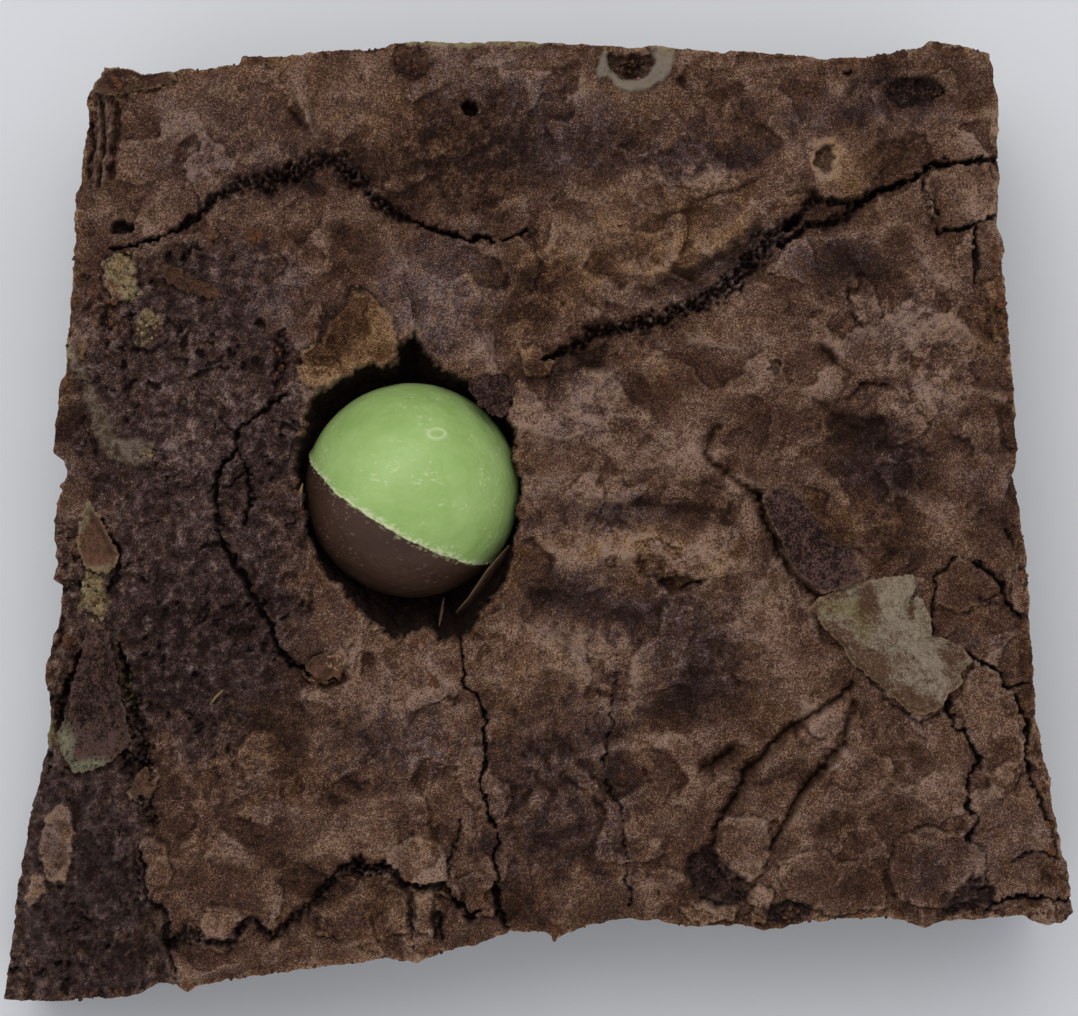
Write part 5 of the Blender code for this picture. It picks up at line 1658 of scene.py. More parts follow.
        # Painted shade: the pit's wall darkens with depth below the crust.
        pit_shade = np.clip((SLAB_HEIGHT - places[:, 2]) / 0.006, 0.0, 0.8)
        warm = np.clip(0.5 * rough, 0.0, 1.0)
        masks = {"tone": tone, "gold": warm, "plum": zero + 0.3, "mint": zero, "painted_shade": pit_shade}
        faces = grid_faces(self.pit_rows, self.pit_columns, True)
        show("pit_wall", Skin(places, faces, masks), self.finish, self.node)

    def build(self) -> None:
        """Make every piece of the slab."""
        skin = self.crust_skin()
        foot = self.build_sides(skin)
        self.build_crust(skin)
        self.build_underside(foot)
        self.build_pit()


class Ball:
    """The chocolate ball: two shells that meet at a crumbly seam."""

    columns = 330
    rows = 150
    shell_gap = 0.0001
    chocolate_gap = 0.00006
    chocolate_roll = 0.0002
    mint_crumb = 0.00016
    mint_roll = 0.0004
    chip_at = (438, 433)
    chip_half = (10.0, 6.0)
    chip_rise = 0.0001

    def __init__(self, mint: bpy.types.Material, chocolate: bpy.types.Material) -> None:
        """Set the ball's middle and the seam's axes."""
        self.mint = mint
        self.chocolate = chocolate
        x, y = to_metres(BALL_AT)
        self.centre = np.array((x, y, SLAB_HEIGHT + BALL_PROUD - BALL_RADIUS))
        axis = np.array(SEAM_AXIS)
        self.axis = axis / np.linalg.norm(axis)
        side = np.cross(self.axis, (0.0, 0.0, 1.0))
        self.side = side / np.linalg.norm(side)
        self.up = np.cross(self.side, self.axis)

    def direction(self, polar: Array, turn: Array) -> Array:
        """Unit direction at an angle from the seam's axis and a turn about it."""
        ring = np.cos(turn)[..., None] * self.side + np.sin(turn)[..., None] * self.up
        return np.cos(polar)[..., None] * self.axis + np.sin(polar)[..., None] * ring

    def shell(self, chocolate: bool) -> Skin:
        """One colour's shell as a grid of polar angles and turns.

        The polar angle runs from the colour's pole to the seam, whose place wavers with
        noise. The radius is the ball's, less dents, plus a low crumbly rim at the seam.

        Args:
            chocolate: True for the dark shell on the axis' side.

        Returns:
            The shell's skin with the masks rim, scuff and side; side paints light on the lower flanks.
        """
        turn = np.linspace(0.0, math.tau, self.columns, endpoint=False)
        circle = np.column_stack((np.cos(turn), np.sin(turn), np.zeros(len(turn))))
        waver = 0.012 * layers(circle, 0.35, 4, 121, 0.65)
        seam = math.acos(SEAM_SHARE) + waver
        share = 1.0 - (1.0 - np.linspace(0.0, 1.0, self.rows)) ** 1.15
        if chocolate:
            polar = share[:, None] * (seam + 0.03)[None]
        else:
            polar = math.pi - share[:, None] * (math.pi - seam)[None]
        way = self.direction(polar, np.repeat(turn[None], self.rows, axis=0)).reshape(-1, 3)
        gap = (polar - seam[None]).reshape(-1)
        spot = way * 100.0
        dents = 0.00006 * noise(spot, 55.0, 131) + 0.00003 * noise(spot, 17.0, 132)
        dents += 0.000012 * layers(spot, 6.0, 2, 133)
        ragged = np.clip(0.5 + 1.2 * layers(spot, 4.0, 3, 134, 0.8), 0.0, 1.0)
        radius = BALL_RADIUS - self.shell_gap + dents
        if chocolate:
            radius -= self.chocolate_gap + self.chocolate_roll * ease((gap + 0.004) / 0.02)
            rim = ease((gap + 0.05 * ragged ** 2) / 0.014) * ragged * 0.8
        else:
            radius += self.mint_crumb * ragged * bell(gap, 0.035)
            radius -= self.mint_roll * ease(1.0 - gap / 0.004)
            rim = ease((0.020 + 0.06 * ragged ** 2 - gap) / 0.016)
        places = self.centre + way * radius[:, None]
        scuff = self.scuffs(way, chocolate)
        if not chocolate:
            chip = self.chip(way)
            places += way * (self.chip_rise * chip)[:, None]
            scuff = np.maximum(scuff, chip)
        faces = grid_faces(self.rows, self.columns, True)
        if not chocolate:
            faces = faces[:, ::-1]
        # Painted light: the side mask lightens the flanks that face down into the pit.
        side = ease((0.62 - way[:, 2]) / 0.55)
        masks = {"rim": np.clip(rim, 0.0, 1.0), "scuff": np.clip(scuff, 0.0, 1.0), "side": side}
        return Skin(places, faces, masks)

    def scuffs(self, way: Array, chocolate: bool) -> Array:
        """Pale scuffs: streaks from thresholded stretched noise, and fine dots."""
        streak = noise(way * (26.0, 60.0, 60.0), 1.6, 141)
        field = ease(noise(way * 10.0, 3.2, 142) * 2.0)
        dots = ease((noise(way * 100.0, 2.6, 143) - 0.42) / 0.15)
        dots *= ease(noise(way * 10.0, 2.4, 144) * 2.0 + 0.2)
        return np.maximum(field * ease((streak - 0.42) / 0.2), dots) * (0.55 if chocolate else 0.6)

    def chip(self, way: Array) -> Array:
        """The oval chip ring on top of the mint side."""
        sx, sy = to_squares(*(self.centre[:2] + way[:, :2] * BALL_RADIUS).T)
        (x, y), (across, deep) = self.chip_at, self.chip_half
        away = np.hypot((sx - x) / across, (sy - y) / deep)
        return bell(away - 0.85, 0.22) * (way[:, 2] > 0) * 0.7

    def build(self) -> None:
        """Make both shells."""
        show("mint_shell", self.shell(False), self.mint, "ball_mint_half")
        show("chocolate_shell", self.shell(True), self.chocolate, "ball_chocolate_half")


@dataclass(frozen=True)
class FlakeMasks:
    """Where a flake is green, brown and rimmed."""

    green: tuple[Patch, ...]
    brown: tuple[Patch, ...]
    rim_width: float
    rim_strength: float = 0.8

    def work_out(self, flat: Array, share: Array, seed: int) -> dict[str, Array]:
        """Masks at places in squares, with share 1 at the flake's outline."""
        place = flat_points(flat[:, 0], flat[:, 1])
        cloud = layers(place, 12.0, 4, seed + 20, 0.75)
        zero = np.zeros(len(flat))
        green = sum((p.weight(flat[:, 0] + 3 * cloud, flat[:, 1]) for p in self.green), zero)
        brown = sum((p.weight(flat[:, 0], flat[:, 1] + 3 * cloud) for p in self.brown), zero)
        rim = ease((share - 1.0 + self.rim_width * (1.0 + 0.7 * cloud)) / self.rim_width)
        return {"green": np.clip(green, 0.0, 1.0), "brown": np.clip(brown + 0.28 * cloud, 0.0, 1.0),
                "rim": np.clip(rim * self.rim_strength, 0.0, 1.0)}


@dataclass(frozen=True)
class Flake:
    """A thin broken flake: outline in squares, sizes in metres, and where its rim lifts."""

    name: str
    outline: Squares
    thickness: float
    clear: float
    curl: float
    lift: tuple[float, float, float] = (0.0, 0.0, 0.0)
    masks: FlakeMasks = FlakeMasks((), (), 0.1)
    rings: int = 22
    columns: int = 220
    jag: float = 2.0
    wave: float = 1.0
    rough: float = 1.0
    folds: tuple[tuple[Squares, float, float], ...] = ()
    granular: bool = False

    def skin(self, crust: Crust, seed: int) -> Skin:
        """Make the flake as rings from a ragged outline to its middle, above and below.

        The height is the smoothed crust's height plus clearance, a curl that grows with
        the cube of the ring's share, a lean, small waves, bell-shaped folds and grain.

        Args:
            crust: The crust that the flake lies on.
            seed: Chooses the flake's own ragged edge.

        Returns:
            The closed skin.
        """
        line = np.array(self.outline + self.outline[:1], dtype=float)
        along = walked(line)
        edge = places_along(line, along, np.linspace(0.0, along[-1], self.columns, endpoint=False))
        spot = np.column_stack((edge, np.zeros(len(edge))))
        jags = self.jag * np.column_stack([layers(spot, 7.0, 3, seed + step, 0.7) for step in (0, 9)])
        middle = edge.mean(axis=0)
        share = 1.0 - np.linspace(0.0, 1.0, self.rings) ** 1.3
        rings = middle + (edge - middle)[None] * share[:, None, None]
        rings += jags[None] * ease((share - 0.7) / 0.3)[:, None, None]
        flat = rings.reshape(-1, 2)
        wide = np.repeat(share, self.columns)
        metres = to_metres(flat)
        ground = SLAB_HEIGHT + crust.swell(metres[:, 0], metres[:, 1]) - crust.shoulder(*metres.T)[0]
        place = flat_points(flat[:, 0], flat[:, 1])
        wave = self.wave * (0.00018 * noise(place, 24.0, seed + 3) + 0.00009 * noise(place, 9.0, seed + 4))
        lean = ((flat - middle) @ np.array(self.lift[:2])) * SQUARE + self.lift[2]
        height = ground + self.clear + self.curl * wide ** 3 + wave + lean
        thin = self.thickness * (1.0 - 0.55 * ease((wide - 0.9) / 0.1))
        grain = 0.00009 * noise(place, 5.0, seed + 5) + 0.00006 * noise(place, 2.6, seed + 6)
        grain *= self.rough
        for run, half, rise in self.folds:
            away, _ = Run(run).measure(flat[:, 0], flat[:, 1], 40.0)
            grain += rise * bell(away, half)
        top = np.column_stack((metres, height + thin + grain))
        under = np.column_stack((metres, height))
        faces = grid_faces(self.rings, self.columns, True)
        count = len(top)
        outer = np.arange(self.columns)
        after = np.roll(outer, -1)
        wall = np.stack((outer, after, after + count, outer + count), axis=-1)
        turned = np.cross(np.append(edge[1] - edge[0], 0), np.append(middle - edge[0], 0))[2] < 0
        top_faces, wall_faces = (faces, wall[:, ::-1]) if turned else (faces[:, ::-1], wall)
        all_faces = np.vstack((top_faces, top_faces[:, ::-1] + count, wall_faces))
        masks = self.masks.work_out(flat, wide, seed)
        masks = {name: np.concatenate((values, values)) for name, values in masks.items()}
        return Skin(np.vstack((top, under)), all_faces, masks)


MINT_FLAKE = Flake(
    "mint_flake_top", (
        (806, 609), (819, 597), (830, 592), (852, 583), (875, 579), (890, 576), (913, 574), (914, 586),
        (909, 602), (916, 596), (923, 602), (930, 624), (932, 636), (944, 638), (963, 649), (971, 660),
        (961, 672), (961, 684), (951, 691), (940, 707), (923, 715), (907, 710), (882, 688), (867, 674),
        (850, 663), (840, 644), (823, 628), (817, 615)), 0.0008, 0.0009, 0.0006, jag=1.7, wave=1.9, rough=1.8,
    masks=FlakeMasks(
        (Patch(828, 606, 16, 9, 0.7), Patch(862, 618, 10, 22, 0.9), Patch(850, 606, 20, 8, 0.7, -20)),
        # The long pale streak at (921, 648) is a painted highlight along the flake's fold.
        (Patch(886, 645, 150, 150, 0.36), Patch(900, 605, 20, 30, -0.40), Patch(921, 648, 36, 9, -1.1, 54),
         Patch(868, 601, 9, 18, 1.0, -14), Patch(856, 660, 58, 17, 0.95, 42),
         Patch(912, 702, 38, 13, 0.85, 20), Patch(950, 658, 12, 26, 0.75),
         Patch(910, 612, 4, 14, 0.9), Patch(893, 662, 18, 14, 0.15),
         Patch(813, 606, 9, 8, 0.5), Patch(838, 596, 16, 4, 0.5, -16)), 0.05, 0.5),
    rings=44, columns=420,
    folds=((((868, 582), (880, 604), (905, 632), (936, 672)), 9.0, 0.0005),
           (((860, 596), (870, 620), (890, 650), (915, 690)), 8.0, -0.0003),
           (((912, 604), (926, 640), (952, 662)), 7.0, -0.0003)))
BROWN_FLAKES = (
    Flake("strip_flake", (
        (760, 496), (768, 488), (777, 483), (788, 488), (800, 500), (814, 516), (825, 536), (836, 546),
        (846, 545), (856, 552), (854, 564), (863, 577), (852, 584), (836, 590), (819, 593), (808, 582),
        (792, 567), (783, 546), (770, 523)), 0.0007, 0.0011, 0.0008, (-0.030, 0.0, 0.0006), jag=1.6, wave=1.6,
        masks=FlakeMasks((), (Patch(800, 535, 64, 46, 0.80, 55),), 0.06, 0.7), rough=1.6, granular=True,
        folds=((((838, 552), (830, 566), (836, 584)), 2.0, -0.0004),
               (((846, 556), (850, 580)), 3.0, 0.0004))),
    Flake("gap_flake", (
        (468, 382), (480, 375), (500, 374), (515, 380), (515, 394), (510, 410), (500, 418), (488, 414),
        (476, 403), (470, 391)), 0.0006, 0.0, 0.0002, (0.02, 0.0, 0.0), jag=3.0, wave=2.6, rough=3.0,
        granular=True,
        masks=FlakeMasks((), (Patch(492, 396, 36, 30, 0.75),), 0.08, 0.1)),
    Flake("left_flake", (
        (88, 497), (93, 505), (103, 522), (112, 538), (121, 556), (114, 566), (107, 574), (96, 573),
        (86, 569), (80, 556), (76, 538), (82, 518)), 0.0006, 0.0009, 0.0004, (0.03, 0.0, 0.0),
        jag=2.4, wave=2.4, rough=2.2,
        masks=FlakeMasks((Patch(84, 512, 8, 22, 0.8, 20), Patch(104, 570, 20, 6, 0.5)),
                         (Patch(98, 542, 18, 26, 0.30),), 0.2, 0.85)),
    Flake("low_left_flake", (
        (88, 622), (100, 624), (110, 634), (115, 655), (121, 690), (128, 716), (133, 741), (122, 750),
        (112, 762), (98, 768), (84, 774), (69, 775), (58, 756), (53, 736), (60, 724), (67, 715), (68, 700),
        (70, 686), (78, 664), (84, 640)), 0.0007, 0.0008, 0.0006, (0.02, 0.0, 0.0), jag=2.0, wave=1.8,
        masks=FlakeMasks((Patch(60, 746, 13, 22, 1.0), Patch(84, 768, 26, 8, 1.0, -14)),
                         (Patch(100, 686, 32, 60, 0.55), Patch(84, 712, 10, 11, 0.8),
                          Patch(116, 744, 14, 12, -0.4)), 0.05, 0.35),
        rings=36, columns=300, rough=3.4, granular=True,
        folds=((((84, 710), (85, 716)), 7.0, -0.0011), (((92, 650), (98, 690), (112, 730)), 5.0, 0.0003))),
    Flake("torn_flake", (
        (304, 666), (314, 656), (330, 652), (343, 647), (345, 662), (341, 676), (328, 680), (314, 678)),
        0.0005, 0.0004, 0.0004, (0.02, 0.0, 0.0), jag=2.0, rough=2.4,
        masks=FlakeMasks((), (Patch(322, 664, 24, 16, 0.5),), 0.12, 0.25)),
    Flake("tan_flake", (
        (129, 790), (138, 776), (146, 765), (152, 770), (150, 780), (159, 784), (150, 798), (142, 794),
        (136, 799)), 0.0005, 0.0006, 0.0003, jag=2.0, rough=2.4,
        masks=FlakeMasks((), (Patch(144, 784, 20, 20, 0.4),), 0.14, 0.35)),
    Flake("red_flake", (
        (160, 268), (172, 266), (190, 276), (206, 284), (224, 294), (222, 299), (204, 297), (186, 292),
        (168, 283)), 0.0004, 0.0003, 0.0005, jag=3.0, wave=2.4, rough=3.0,
        masks=FlakeMasks((), (Patch(190, 284, 44, 18, 0.6, 24),), 0.12, 0.1)),
    Flake("back_flake", (
        (104, 69), (124, 68), (146, 76), (172, 73), (180, 80), (160, 88), (134, 92), (112, 96), (92, 92)),
        0.0006, -0.0004, 0.0004, jag=2.2, wave=2.0,
        masks=FlakeMasks((), (Patch(140, 80, 44, 14, 0.8), Patch(110, 84, 16, 12, 0.4)), 0.16, 0.8)),
)
SHARD = ((509, 545), (499, 556), (487, 570), (477, 585), (468, 598), (456, 612))
SPLINTERS = (
    ((303, 483), (300, 494), (301, 507), 3.4, 0.0004, 0.8),
    ((443, 598), (441, 612), (438, 628), 3.0, -0.0040, 0.2),
    ((210, 705), (216, 697), (224, 689), 2.6, 0.0004, 0.8),
)


class Flakes:
    """The mint flake and the brown flakes, shard and splinters that stand up from the crust."""

    shard_steps = (90, 15)
    shard_top = 0.0004
    shard_drop = 0.0042
    shard_lean = 0.0007
    shard_thickness = 0.0004

    def __init__(self, crust: Crust, mint: bpy.types.Material, brown: bpy.types.Material,
                 granular: bpy.types.Material) -> None:
        """Keep the crust and the three finishes."""
        self.crust = crust
        self.mint = mint
        self.brown = brown
        self.granular = granular

    def shard(self) -> Skin:
        """The thin curved shard by the ball: a strip from its top edge outward and down.

        Down its face the place moves outward by the lean and falls by the drop; the two
        faces are a thickness apart, thinned to nothing towards the strip's ends.
        """
        along, down = self.shard_steps
        line = to_metres(SHARD)
        run = walked(line)
        top = places_along(line, run, np.linspace(0.0, run[-1], along))
        outward = top - to_metres(BALL_AT)
        outward /= np.linalg.norm(outward, axis=1, keepdims=True)
        turn = np.linspace(0.0, math.tau, 2 * down, endpoint=False)
        fall = (1.0 - np.cos(turn)) / 2
        side = np.sin(turn)
        share = np.linspace(0.0, 1.0, along)
        belly = np.sin(np.pi * np.clip(share, 0.03, 0.97)) ** 0.6
        spot = np.column_stack((share * 14.0, np.zeros(along), np.zeros(along)))
        ragged = 0.0003 * layers(spot, 2.0, 3, 301, 0.7)
        lean = self.shard_lean * belly[:, None] * fall + self.shard_thickness * 0.5 * belly[:, None] * side
        places = np.empty((along, len(turn), 3))
        places[..., :2] = top[:, None] + outward[:, None] * lean[..., None]
        lift = 0.0006 * np.sin(np.pi * share)
        drop = self.shard_drop * fall * belly[:, None]
        places[..., 2] = SLAB_HEIGHT + self.shard_top + (lift + ragged)[:, None] - drop
        faces = grid_faces(along, len(turn), True)
        edge = np.repeat(bell(fall, 0.10)[None], along, axis=0).ravel()
        flat = np.zeros(edge.shape)
        return Skin(places.reshape(-1, 3), faces, {"green": flat, "brown": flat + 0.85, "rim": 0.5 * edge})

    def splinters(self) -> Skin:
        """Thin splinters and slivers: pointed tubes along short runs on the crust."""
        rings, sides = 16, 8
        turn = np.linspace(0.0, math.tau, sides, endpoint=False)
        share = np.linspace(0.0, 1.0, rings)
        skins = []
        for first, middle, last, width, lift, pale in SPLINTERS:
            line = to_metres((first, middle, last))
            centre = places_along(line, (0.0, 0.5, 1.0), share)
            ground, _ = self.crust.evaluate(centre[:, 0], centre[:, 1])
            level = max(ground.mean(), SLAB_HEIGHT - 0.0015) + lift
            way = line[2] - line[0]
            across = np.array((-way[1], way[0])) / np.linalg.norm(way)
            girth = np.maximum(np.sin(np.pi * share) ** 0.5, 0.06) * width * SQUARE / 2
            places = np.empty((rings, sides, 3))
            places[..., :2] = centre[:, None] + across * (girth[:, None] * np.cos(turn))[..., None]
            places[..., 2] = level + girth[:, None] * np.sin(turn) * 0.7
            grid = grid_faces(rings, sides, True)
            flat = np.zeros(rings * sides)
            skins.append(Skin(places.reshape(-1, 3), grid, {"green": flat, "brown": flat + 0.5 - 0.5 * pale,
                                                            "rim": flat + pale}))
        return merge(skins)

    def build(self) -> None:
        """Make each flake as a piece of its own."""
        show(MINT_FLAKE.name, MINT_FLAKE.skin(self.crust, 201), self.mint, "mint_flake")
        for number, flake in enumerate(BROWN_FLAKES):
            finish = self.granular if flake.granular else self.brown
            show(flake.name, flake.skin(self.crust, 211 + 30 * number), finish, "brownie")
        show("shard", self.shard(), self.brown, "brownie")
        show("splinters", self.splinters(), self.brown, "brownie")


@dataclass(frozen=True)
class Strew:
    """Crumbs strewn along a run: how many, how far off it, sizes in squares and colours."""

    run: Squares
    count: int
    spread: float
    small: float
    large: float
    orange: float = 0.08
    pale: float = 0.0


STREWS = (
    Strew(CRACKS[0].run.points, 60, 9.0, 0.9, 2.0, 0.05),
    Strew(CRACKS[1].run.points, 70, 11.0, 0.9, 2.1, 0.05),
    Strew(CRACKS[2].run.points, 20, 7.0, 0.9, 1.8, 0.05),
    Strew(CRACKS[3].run.points, 30, 8.0, 0.9, 1.9, 0.05),
    Strew(CRACKS[14].run.points, 40, 6.0, 0.9, 2.1, 0.2),
    Strew(((280, 331), (283, 350), (274, 393)), 40, 7.0, 1.0, 3.0, 0.6),
    Strew(((395, 52), (410, 64), (425, 74)), 34, 9.0, 1.6, 4.4, 0.45),
    Strew(((84, 88), (104, 72), (176, 82)), 60, 7.0, 1.2, 3.2, 0.7),
    Strew(((90, 100), (84, 190), (78, 240)), 40, 5.0, 1.0, 2.6, 0.6),
    Strew(((78, 250), (72, 320), (64, 400)), 40, 6.0, 1.2, 3.4, 0.6),
    Strew(((96, 290), (116, 300), (104, 360)), 30, 12.0, 1.2, 3.0, 0.9),
    Strew(((88, 576), (96, 596), (100, 622)), 60, 9.0, 1.2, 3.2, 0.1, 0.9),
    Strew(((112, 258), (126, 272), (130, 296)), 40, 10.0, 1.0, 2.6, 0.2, 0.8),
    Strew(((140, 322), (156, 326), (144, 344)), 24, 8.0, 1.0, 2.2, 0.2, 0.8),
    Strew(((52, 560), (44, 660), (40, 740)), 60, 7.0, 1.2, 3.6, 0.5),
    Strew(((100, 640), (120, 690), (132, 740)), 40, 6.0, 1.0, 2.4, 0.4),
    Strew(((123, 750), (140, 790), (150, 822)), 46, 8.0, 1.2, 3.0, 0.1),
    Strew(((994, 240), (1001, 300), (1011, 400)), 110, 5.0, 1.2, 3.4, 0.8),
    Strew(((1013, 440), (1021, 560), (1033, 720)), 110, 4.0, 1.0, 2.8, 0.6),
    Strew(((1037, 740), (1053, 850), (1065, 900)), 70, 4.0, 1.2, 3.0, 0.7),
    Strew(((1070, 915), (1000, 912), (880, 915)), 70, 5.0, 1.2, 3.2, 0.5),
    Strew(((860, 918), (720, 922), (560, 930)), 60, 4.0, 1.0, 2.6, 0.7),
    Strew(((540, 932), (480, 940), (380, 960), (260, 974), (150, 990)), 70, 4.0, 1.0, 2.6, 0.6),
    Strew(((120, 1000), (40, 1008), (0, 1008)), 30, 4.0, 1.0, 2.6, 0.5),
    Strew(((190, 70), (300, 56), (392, 50)), 40, 3.0, 1.0, 2.4, 0.7),
    Strew(((700, 54), (860, 58), (980, 50)), 50, 3.0, 1.0, 2.4, 0.6),
    Strew(((305, 372), (350, 372), (396, 356)), 40, 5.0, 1.0, 2.4, 0.9),
    Strew(((520, 480), (520, 540), (500, 600)), 50, 5.0, 1.0, 2.6, 0.7),
    Strew(((350, 604), (400, 640), (460, 640)), 50, 6.0, 1.0, 2.6, 0.3),
    Strew(((300, 440), (300, 520), (330, 580)), 40, 5.0, 1.0, 2.6, 0.5),
    Strew(((696, 868), (720, 880), (746, 892)), 50, 12.0, 1.0, 2.4),
    Strew(((960, 892), (976, 896), (992, 892)), 34, 8.0, 1.0, 2.6),
    Strew(((770, 912), (790, 910), (808, 914)), 24, 6.0, 1.0, 2.4),
    Strew(((884, 90), (910, 90), (940, 90)), 40, 8.0, 1.0, 2.4),
    Strew(((160, 360), (200, 480), (220, 620)), 80, 70.0, 0.8, 1.8),
    Strew(((60, 880), (90, 940), (60, 980)), 40, 40.0, 0.8, 2.0),
    Strew(((620, 60), (636, 70), (646, 60)), 24, 9.0, 1.0, 2.2, 0.4),
    Strew(((555, 925), (556, 934), (554, 940)), 10, 4.0, 1.6, 3.4, 0.9),
    Strew(((184, 980), (187, 988), (188, 992)), 8, 4.0, 1.6, 3.4, 0.8),
)
# Small heaps of crumbs: place, reach and count, share of orange, share of pale
HEAPS = (
    (211, 235, 6, 16, 0.8, 0.1), (254, 236, 8, 22, 0.9, 0.0), (434, 681, 6, 14, 0.9, 0.0),
    (404, 58, 9, 26, 0.5, 0.0), (420, 66, 9, 24, 0.3, 0.0), (937, 46, 6, 20, 0.2, 0.0),
    (880, 57, 7, 20, 0.2, 0.0), (900, 53, 6, 18, 0.2, 0.0), (1000, 300, 6, 30, 0.9, 0.0),
    (120, 264, 11, 44, 0.1, 0.8), (128, 282, 9, 26, 0.1, 0.8), (150, 320, 8, 24, 0.1, 0.8),
    (94, 582, 7, 24, 0.0, 0.9), (88, 600, 7, 22, 0.1, 0.8), (101, 612, 6, 22, 0.1, 0.8),
    (148, 454, 6, 10, 0.1, 0.7), (82, 352, 7, 14, 0.6, 0.3), (64, 640, 8, 26, 0.5, 0.0),
    (116, 84, 9, 20, 0.7, 0.0),
)
HEAP_SIZES = (1.4, 3.6)
SLAB_OUTLINE = Run(Edge.BACK.value + Edge.RIGHT.value[1:] + Edge.FRONT.value[-2::-1]
                   + Edge.LEFT.value[-2:0:-1], True)


class Crumbs:
    """Loose crumbs of the slab's edges, cracks and bare patches, joined into one piece."""

    seed = 44
    edge_room = 1.6
    knobbly = 0.6
    lift = 0.25

    def __init__(self, crust: Crust, finish: bpy.types.Material) -> None:
        """Keep the crust and the finish."""
        self.crust = crust
        self.finish = finish

    def ball(self) -> tuple[Array, Array]:
        """A unit ball of 32 triangles: an octahedron with its edges halved and pushed out."""
        corners = np.array(((1, 0, 0), (-1, 0, 0), (0, 1, 0), (0, -1, 0), (0, 0, 1), (0, 0, -1)), float)
        places = [tuple(corner) for corner in corners]
        known: dict[tuple[int, int], int] = {}
        finer = []
        for a, b, c in ((0, 2, 4), (2, 1, 4), (1, 3, 4), (3, 0, 4),
                        (2, 0, 5), (1, 2, 5), (3, 1, 5), (0, 3, 5)):
            middles = []
            for pair in ((a, b), (b, c), (c, a)):
                key = (min(pair), max(pair))
                if key not in known:
                    known[key] = len(places)
                    middle = corners[key[0]] + corners[key[1]]
                    places.append(tuple(middle / np.linalg.norm(middle)))
                middles.append(known[key])
            ab, bc, ca = middles
            finer += [(a, ab, ca), (b, bc, ab), (c, ca, bc), (ab, bc, ca)]
        return np.array(places), np.array(finer)

    def scatter(self) -> Array:
        """Draw every crumb: plan place and half size in squares, orange and pale shares."""
        draw = np.random.default_rng(self.seed)
        rows = []
        for x, y, reach, count, orange, pale in HEAPS:
            place = (x, y) + draw.normal(0.0, reach * 0.45, (count, 2))
            size = draw.uniform(*HEAP_SIZES, count)
            shares = draw.uniform(0.6, 1.0, (count, 2)) * (orange, pale)
            rows.append(np.column_stack((place, size, shares)))
        for strew in STREWS:
            line = np.array(strew.run, dtype=float)[:, :2]
            along = walked(line)
            place = places_along(line, along, draw.uniform(0.0, along[-1], strew.count))
            place += draw.normal(0.0, strew.spread * 0.5, place.shape)
            size = strew.small + (strew.large - strew.small) * draw.random(strew.count) ** 2.2
            orange = (draw.random(strew.count) < strew.orange) * draw.uniform(0.5, 1.0, strew.count)
            pale = (draw.random(strew.count) < strew.pale) * draw.uniform(0.5, 1.0, strew.count)
            rows.append(np.column_stack((place, size, orange, pale)))
        return np.vstack(rows)

    def build(self) -> None:
        """Place each crumb on the crust, half sunk, uneven and turned."""
        drawn = self.scatter()
        inside = SLAB_OUTLINE.inside(drawn[:, 0], drawn[:, 1], FAR)
        on_slab = inside > 0.2 * drawn[:, 2]
        drawn, inside = drawn[on_slab], inside[on_slab]
        metres = to_metres(drawn[:, :2])
        low, high = (np.array(corner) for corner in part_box("brownie"))
        size = drawn[:, 2] * SQUARE
        room = size[:, None] * self.edge_room
        metres = np.clip(metres, low[:2] + room, high[:2] - room)
        ground, masks = self.crust.evaluate(metres[:, 0], metres[:, 1])
        ground -= self.crust.edge_fall(inside)
        kept = masks["pit"] < 1.0
        drawn, metres, size, ground = drawn[kept], metres[kept], size[kept], ground[kept]
        unit, faces = self.ball()
        draw = np.random.default_rng(self.seed + 1)
        count = len(drawn)
        stretch = draw.uniform(0.7, 1.3, (count, 1, 3)) * (1.0, 1.0, 0.75)
        tilt = draw.uniform(0.0, math.tau, count)
        shapes = np.repeat(unit[None], count, axis=0) * stretch
        knobs = noise((shapes + draw.uniform(0.0, 90.0, (count, 1, 3))).reshape(-1, 3), 0.9, 311)
        shapes *= (1.0 + self.knobbly * knobs).reshape(count, -1, 1)
        cos, sin = np.cos(tilt)[:, None], np.sin(tilt)[:, None]
        x = shapes[..., 0] * cos - shapes[..., 1] * sin
        y = shapes[..., 0] * sin + shapes[..., 1] * cos
        shapes = np.stack((x, y, shapes[..., 2]), axis=-1) * size[:, None, None]
        centre = np.column_stack((metres, ground + self.lift * size))
        places = (shapes + centre[:, None]).reshape(-1, 3)
        starts = np.arange(count)[:, None, None] * len(unit)
        all_faces = (faces[None] + starts).reshape(-1, 3)
        orange = np.repeat(drawn[:, 3], len(unit))
        pale = np.repeat(drawn[:, 4], len(unit))
        dark = np.clip(1.0 - orange - pale, 0.0, 1.0)
        skin = Skin(places, all_faces, {"green": pale, "brown": dark, "rim": np.zeros(len(places))})
        show("crumbs", skin, self.finish, "brownie", smooth=False)


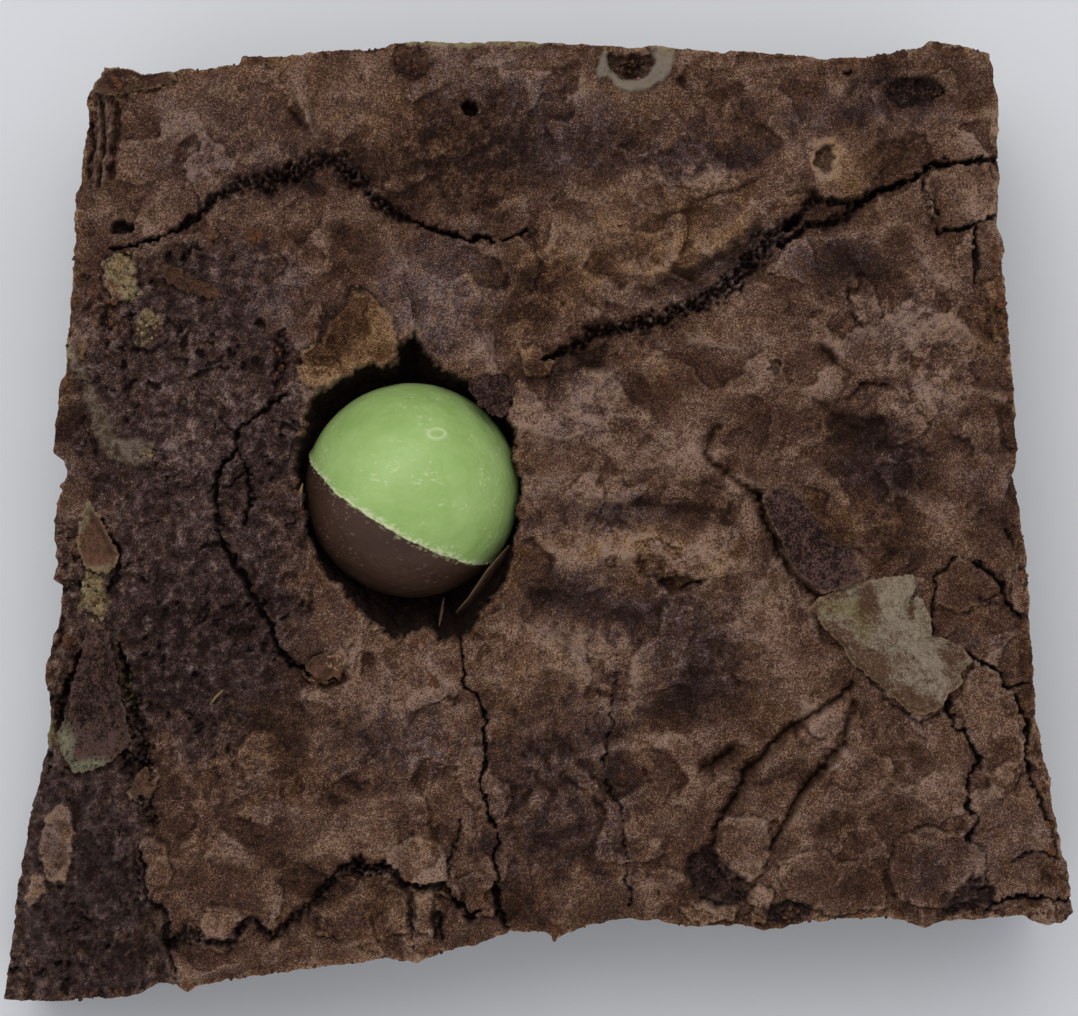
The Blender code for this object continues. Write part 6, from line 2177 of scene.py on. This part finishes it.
@dataclass(frozen=True)
class Studio:
    """Pale table, soft light from behind and above, and a camera straight over the slab."""

    floor_seen: tuple[float, ...] = seen(202, 204, 209)
    floor_half: float = 1.6
    camera_height: float = 0.5
    view_width: float = 1078 * SQUARE
    sensor: float = 36.0
    key_power: float = 8.5
    key_size: float = 0.9
    key_place: tuple[float, float, float] = (-0.15, 0.62, 1.5)
    fill_strength: float = 0.38
    top_power: float = 14.5
    top_size: float = 2.0
    top_place: tuple[float, float, float] = (0.0, 0.25, 1.9)
    lamp_colour: tuple[float, float, float] = (1.0, 0.985, 0.96)
    sky_colour: tuple[float, ...] = (0.93, 0.96, 1.0, 1.0)
    floor_gap: float = 0.00002
    frame_middle: tuple[float, float] = (539.0, 508.0)

    def build(self) -> None:
        """Make the floor, the lights and the camera."""
        scene = bpy.context.scene
        scene.view_settings.view_transform = "Standard"
        half = self.floor_half
        corners = np.array(((-half, -half, 0), (half, -half, 0), (half, half, 0), (-half, half, 0)), float)
        corners[:, 2] = -self.floor_gap
        material, kit, shader = new_material("pale_table")
        soft = kit.noise(kit.place(), 30.0)
        tint = kit.mix(kit.between(soft, 0.3, 0.7), self.floor_seen, tuple(0.98 * c for c in self.floor_seen))
        kit.link(tint, shader.inputs["Base Color"])
        shader.inputs["Roughness"].default_value = 0.6
        floor = make_piece("table", Skin(corners, np.array(((0, 1, 2, 3),)), {}), material)
        centre = to_metres(self.frame_middle)
        camera = bpy.data.cameras.new("camera")
        camera.sensor_width = self.sensor
        camera.lens = self.sensor * self.camera_height / self.view_width
        camera.clip_start = 0.01
        holder = bpy.data.objects.new("camera", camera)
        holder.location = (centre[0], centre[1], SLAB_HEIGHT + self.camera_height)
        scene.collection.objects.link(holder)
        scene.camera = holder
        self.light("key", self.key_place, self.key_size, self.key_power)
        self.light("overhead", self.top_place, self.top_size, self.top_power)
        world = bpy.data.worlds.new("soft_room")
        world.use_nodes = True
        back = world.node_tree.nodes["Background"]
        back.inputs["Color"].default_value = self.sky_colour
        back.inputs["Strength"].default_value = self.fill_strength
        scene.world = world

    def light(self, name: str, place: tuple[float, float, float], size: float, power: float) -> None:
        """Add a square soft light that faces the slab."""
        data = bpy.data.lights.new(name, "AREA")
        data.size = size
        data.energy = power
        data.color = self.lamp_colour
        lamp = bpy.data.objects.new(name, data)
        lamp.location = place
        x, y, z = place
        lamp.rotation_euler = (math.atan2(math.hypot(x, y), z), 0.0, math.atan2(x, -y))
        bpy.context.scene.collection.objects.link(lamp)


def write_sizes() -> None:
    """Meant to give the solid's box and the dressed part's box as plain lists; it only defines a helper and
    writes nothing.
    """
    def plain(box: object) -> list[list[float]]:
        """Turn a pair of corners into lists."""
        return [[float(value) for value in corner] for corner in box]


def main() -> None:
    """Build the dressed brownie piece by piece, then the studio."""
    logging.basicConfig(level=logging.INFO, format="%(name)s %(message)s")
    speckle = speckle_group()
    crust = Crust()
    crust_finish = CrustFinish().build(speckle)
    Slab(crust, crust_finish).build()
    # The last colour of each shell is painted light for its lower sides; on the dark shell it is close to its
    # own colour.
    mint = ShellFinish("mint_chocolate", seen(148, 176, 108), seen(135, 164, 92), seen(184, 196, 150),
                       seen(176, 182, 142), seen(172, 202, 124)).build()
    dark = ShellFinish("dark_chocolate", seen(68, 47, 38), seen(58, 39, 31), seen(122, 100, 86),
                       seen(140, 138, 104), seen(66, 46, 36), roughness=0.45, scuff_share=0.6).build()
    Ball(mint, dark).build()
    mint_flake = FlakeFinish("baked_mint", seen(136, 123, 106), seen(120, 110, 76), seen(82, 58, 42),
                             seen(140, 114, 86), mottle=2.2).build(speckle)
    brown_flake = FlakeFinish("baked_flake", seen(100, 70, 53), seen(146, 138, 110), seen(50, 31, 26),
                              seen(130, 108, 78)).build(speckle)
    granular = FlakeFinish("granular_flake", seen(98, 72, 66), seen(138, 134, 108), seen(36, 21, 18),
                           seen(126, 98, 76), grain=5600.0, mottle=5.0, bump=0.0003).build(speckle)
    crumb_finish = FlakeFinish("loose_crumb", seen(104, 66, 43), seen(156, 140, 104), seen(56, 38, 31),
                               seen(122, 98, 74)).build(speckle)
    Flakes(crust, mint_flake, brown_flake, granular).build()
    Crumbs(crust, crumb_finish).build()
    Studio().build()


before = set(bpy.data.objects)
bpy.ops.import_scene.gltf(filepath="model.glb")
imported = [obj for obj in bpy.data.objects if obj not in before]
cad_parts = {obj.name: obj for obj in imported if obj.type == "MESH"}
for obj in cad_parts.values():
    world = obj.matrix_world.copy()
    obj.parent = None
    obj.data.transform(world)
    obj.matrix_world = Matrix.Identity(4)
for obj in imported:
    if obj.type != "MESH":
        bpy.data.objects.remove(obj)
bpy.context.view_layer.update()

if __name__ == "__main__":
    main()
    write_sizes()
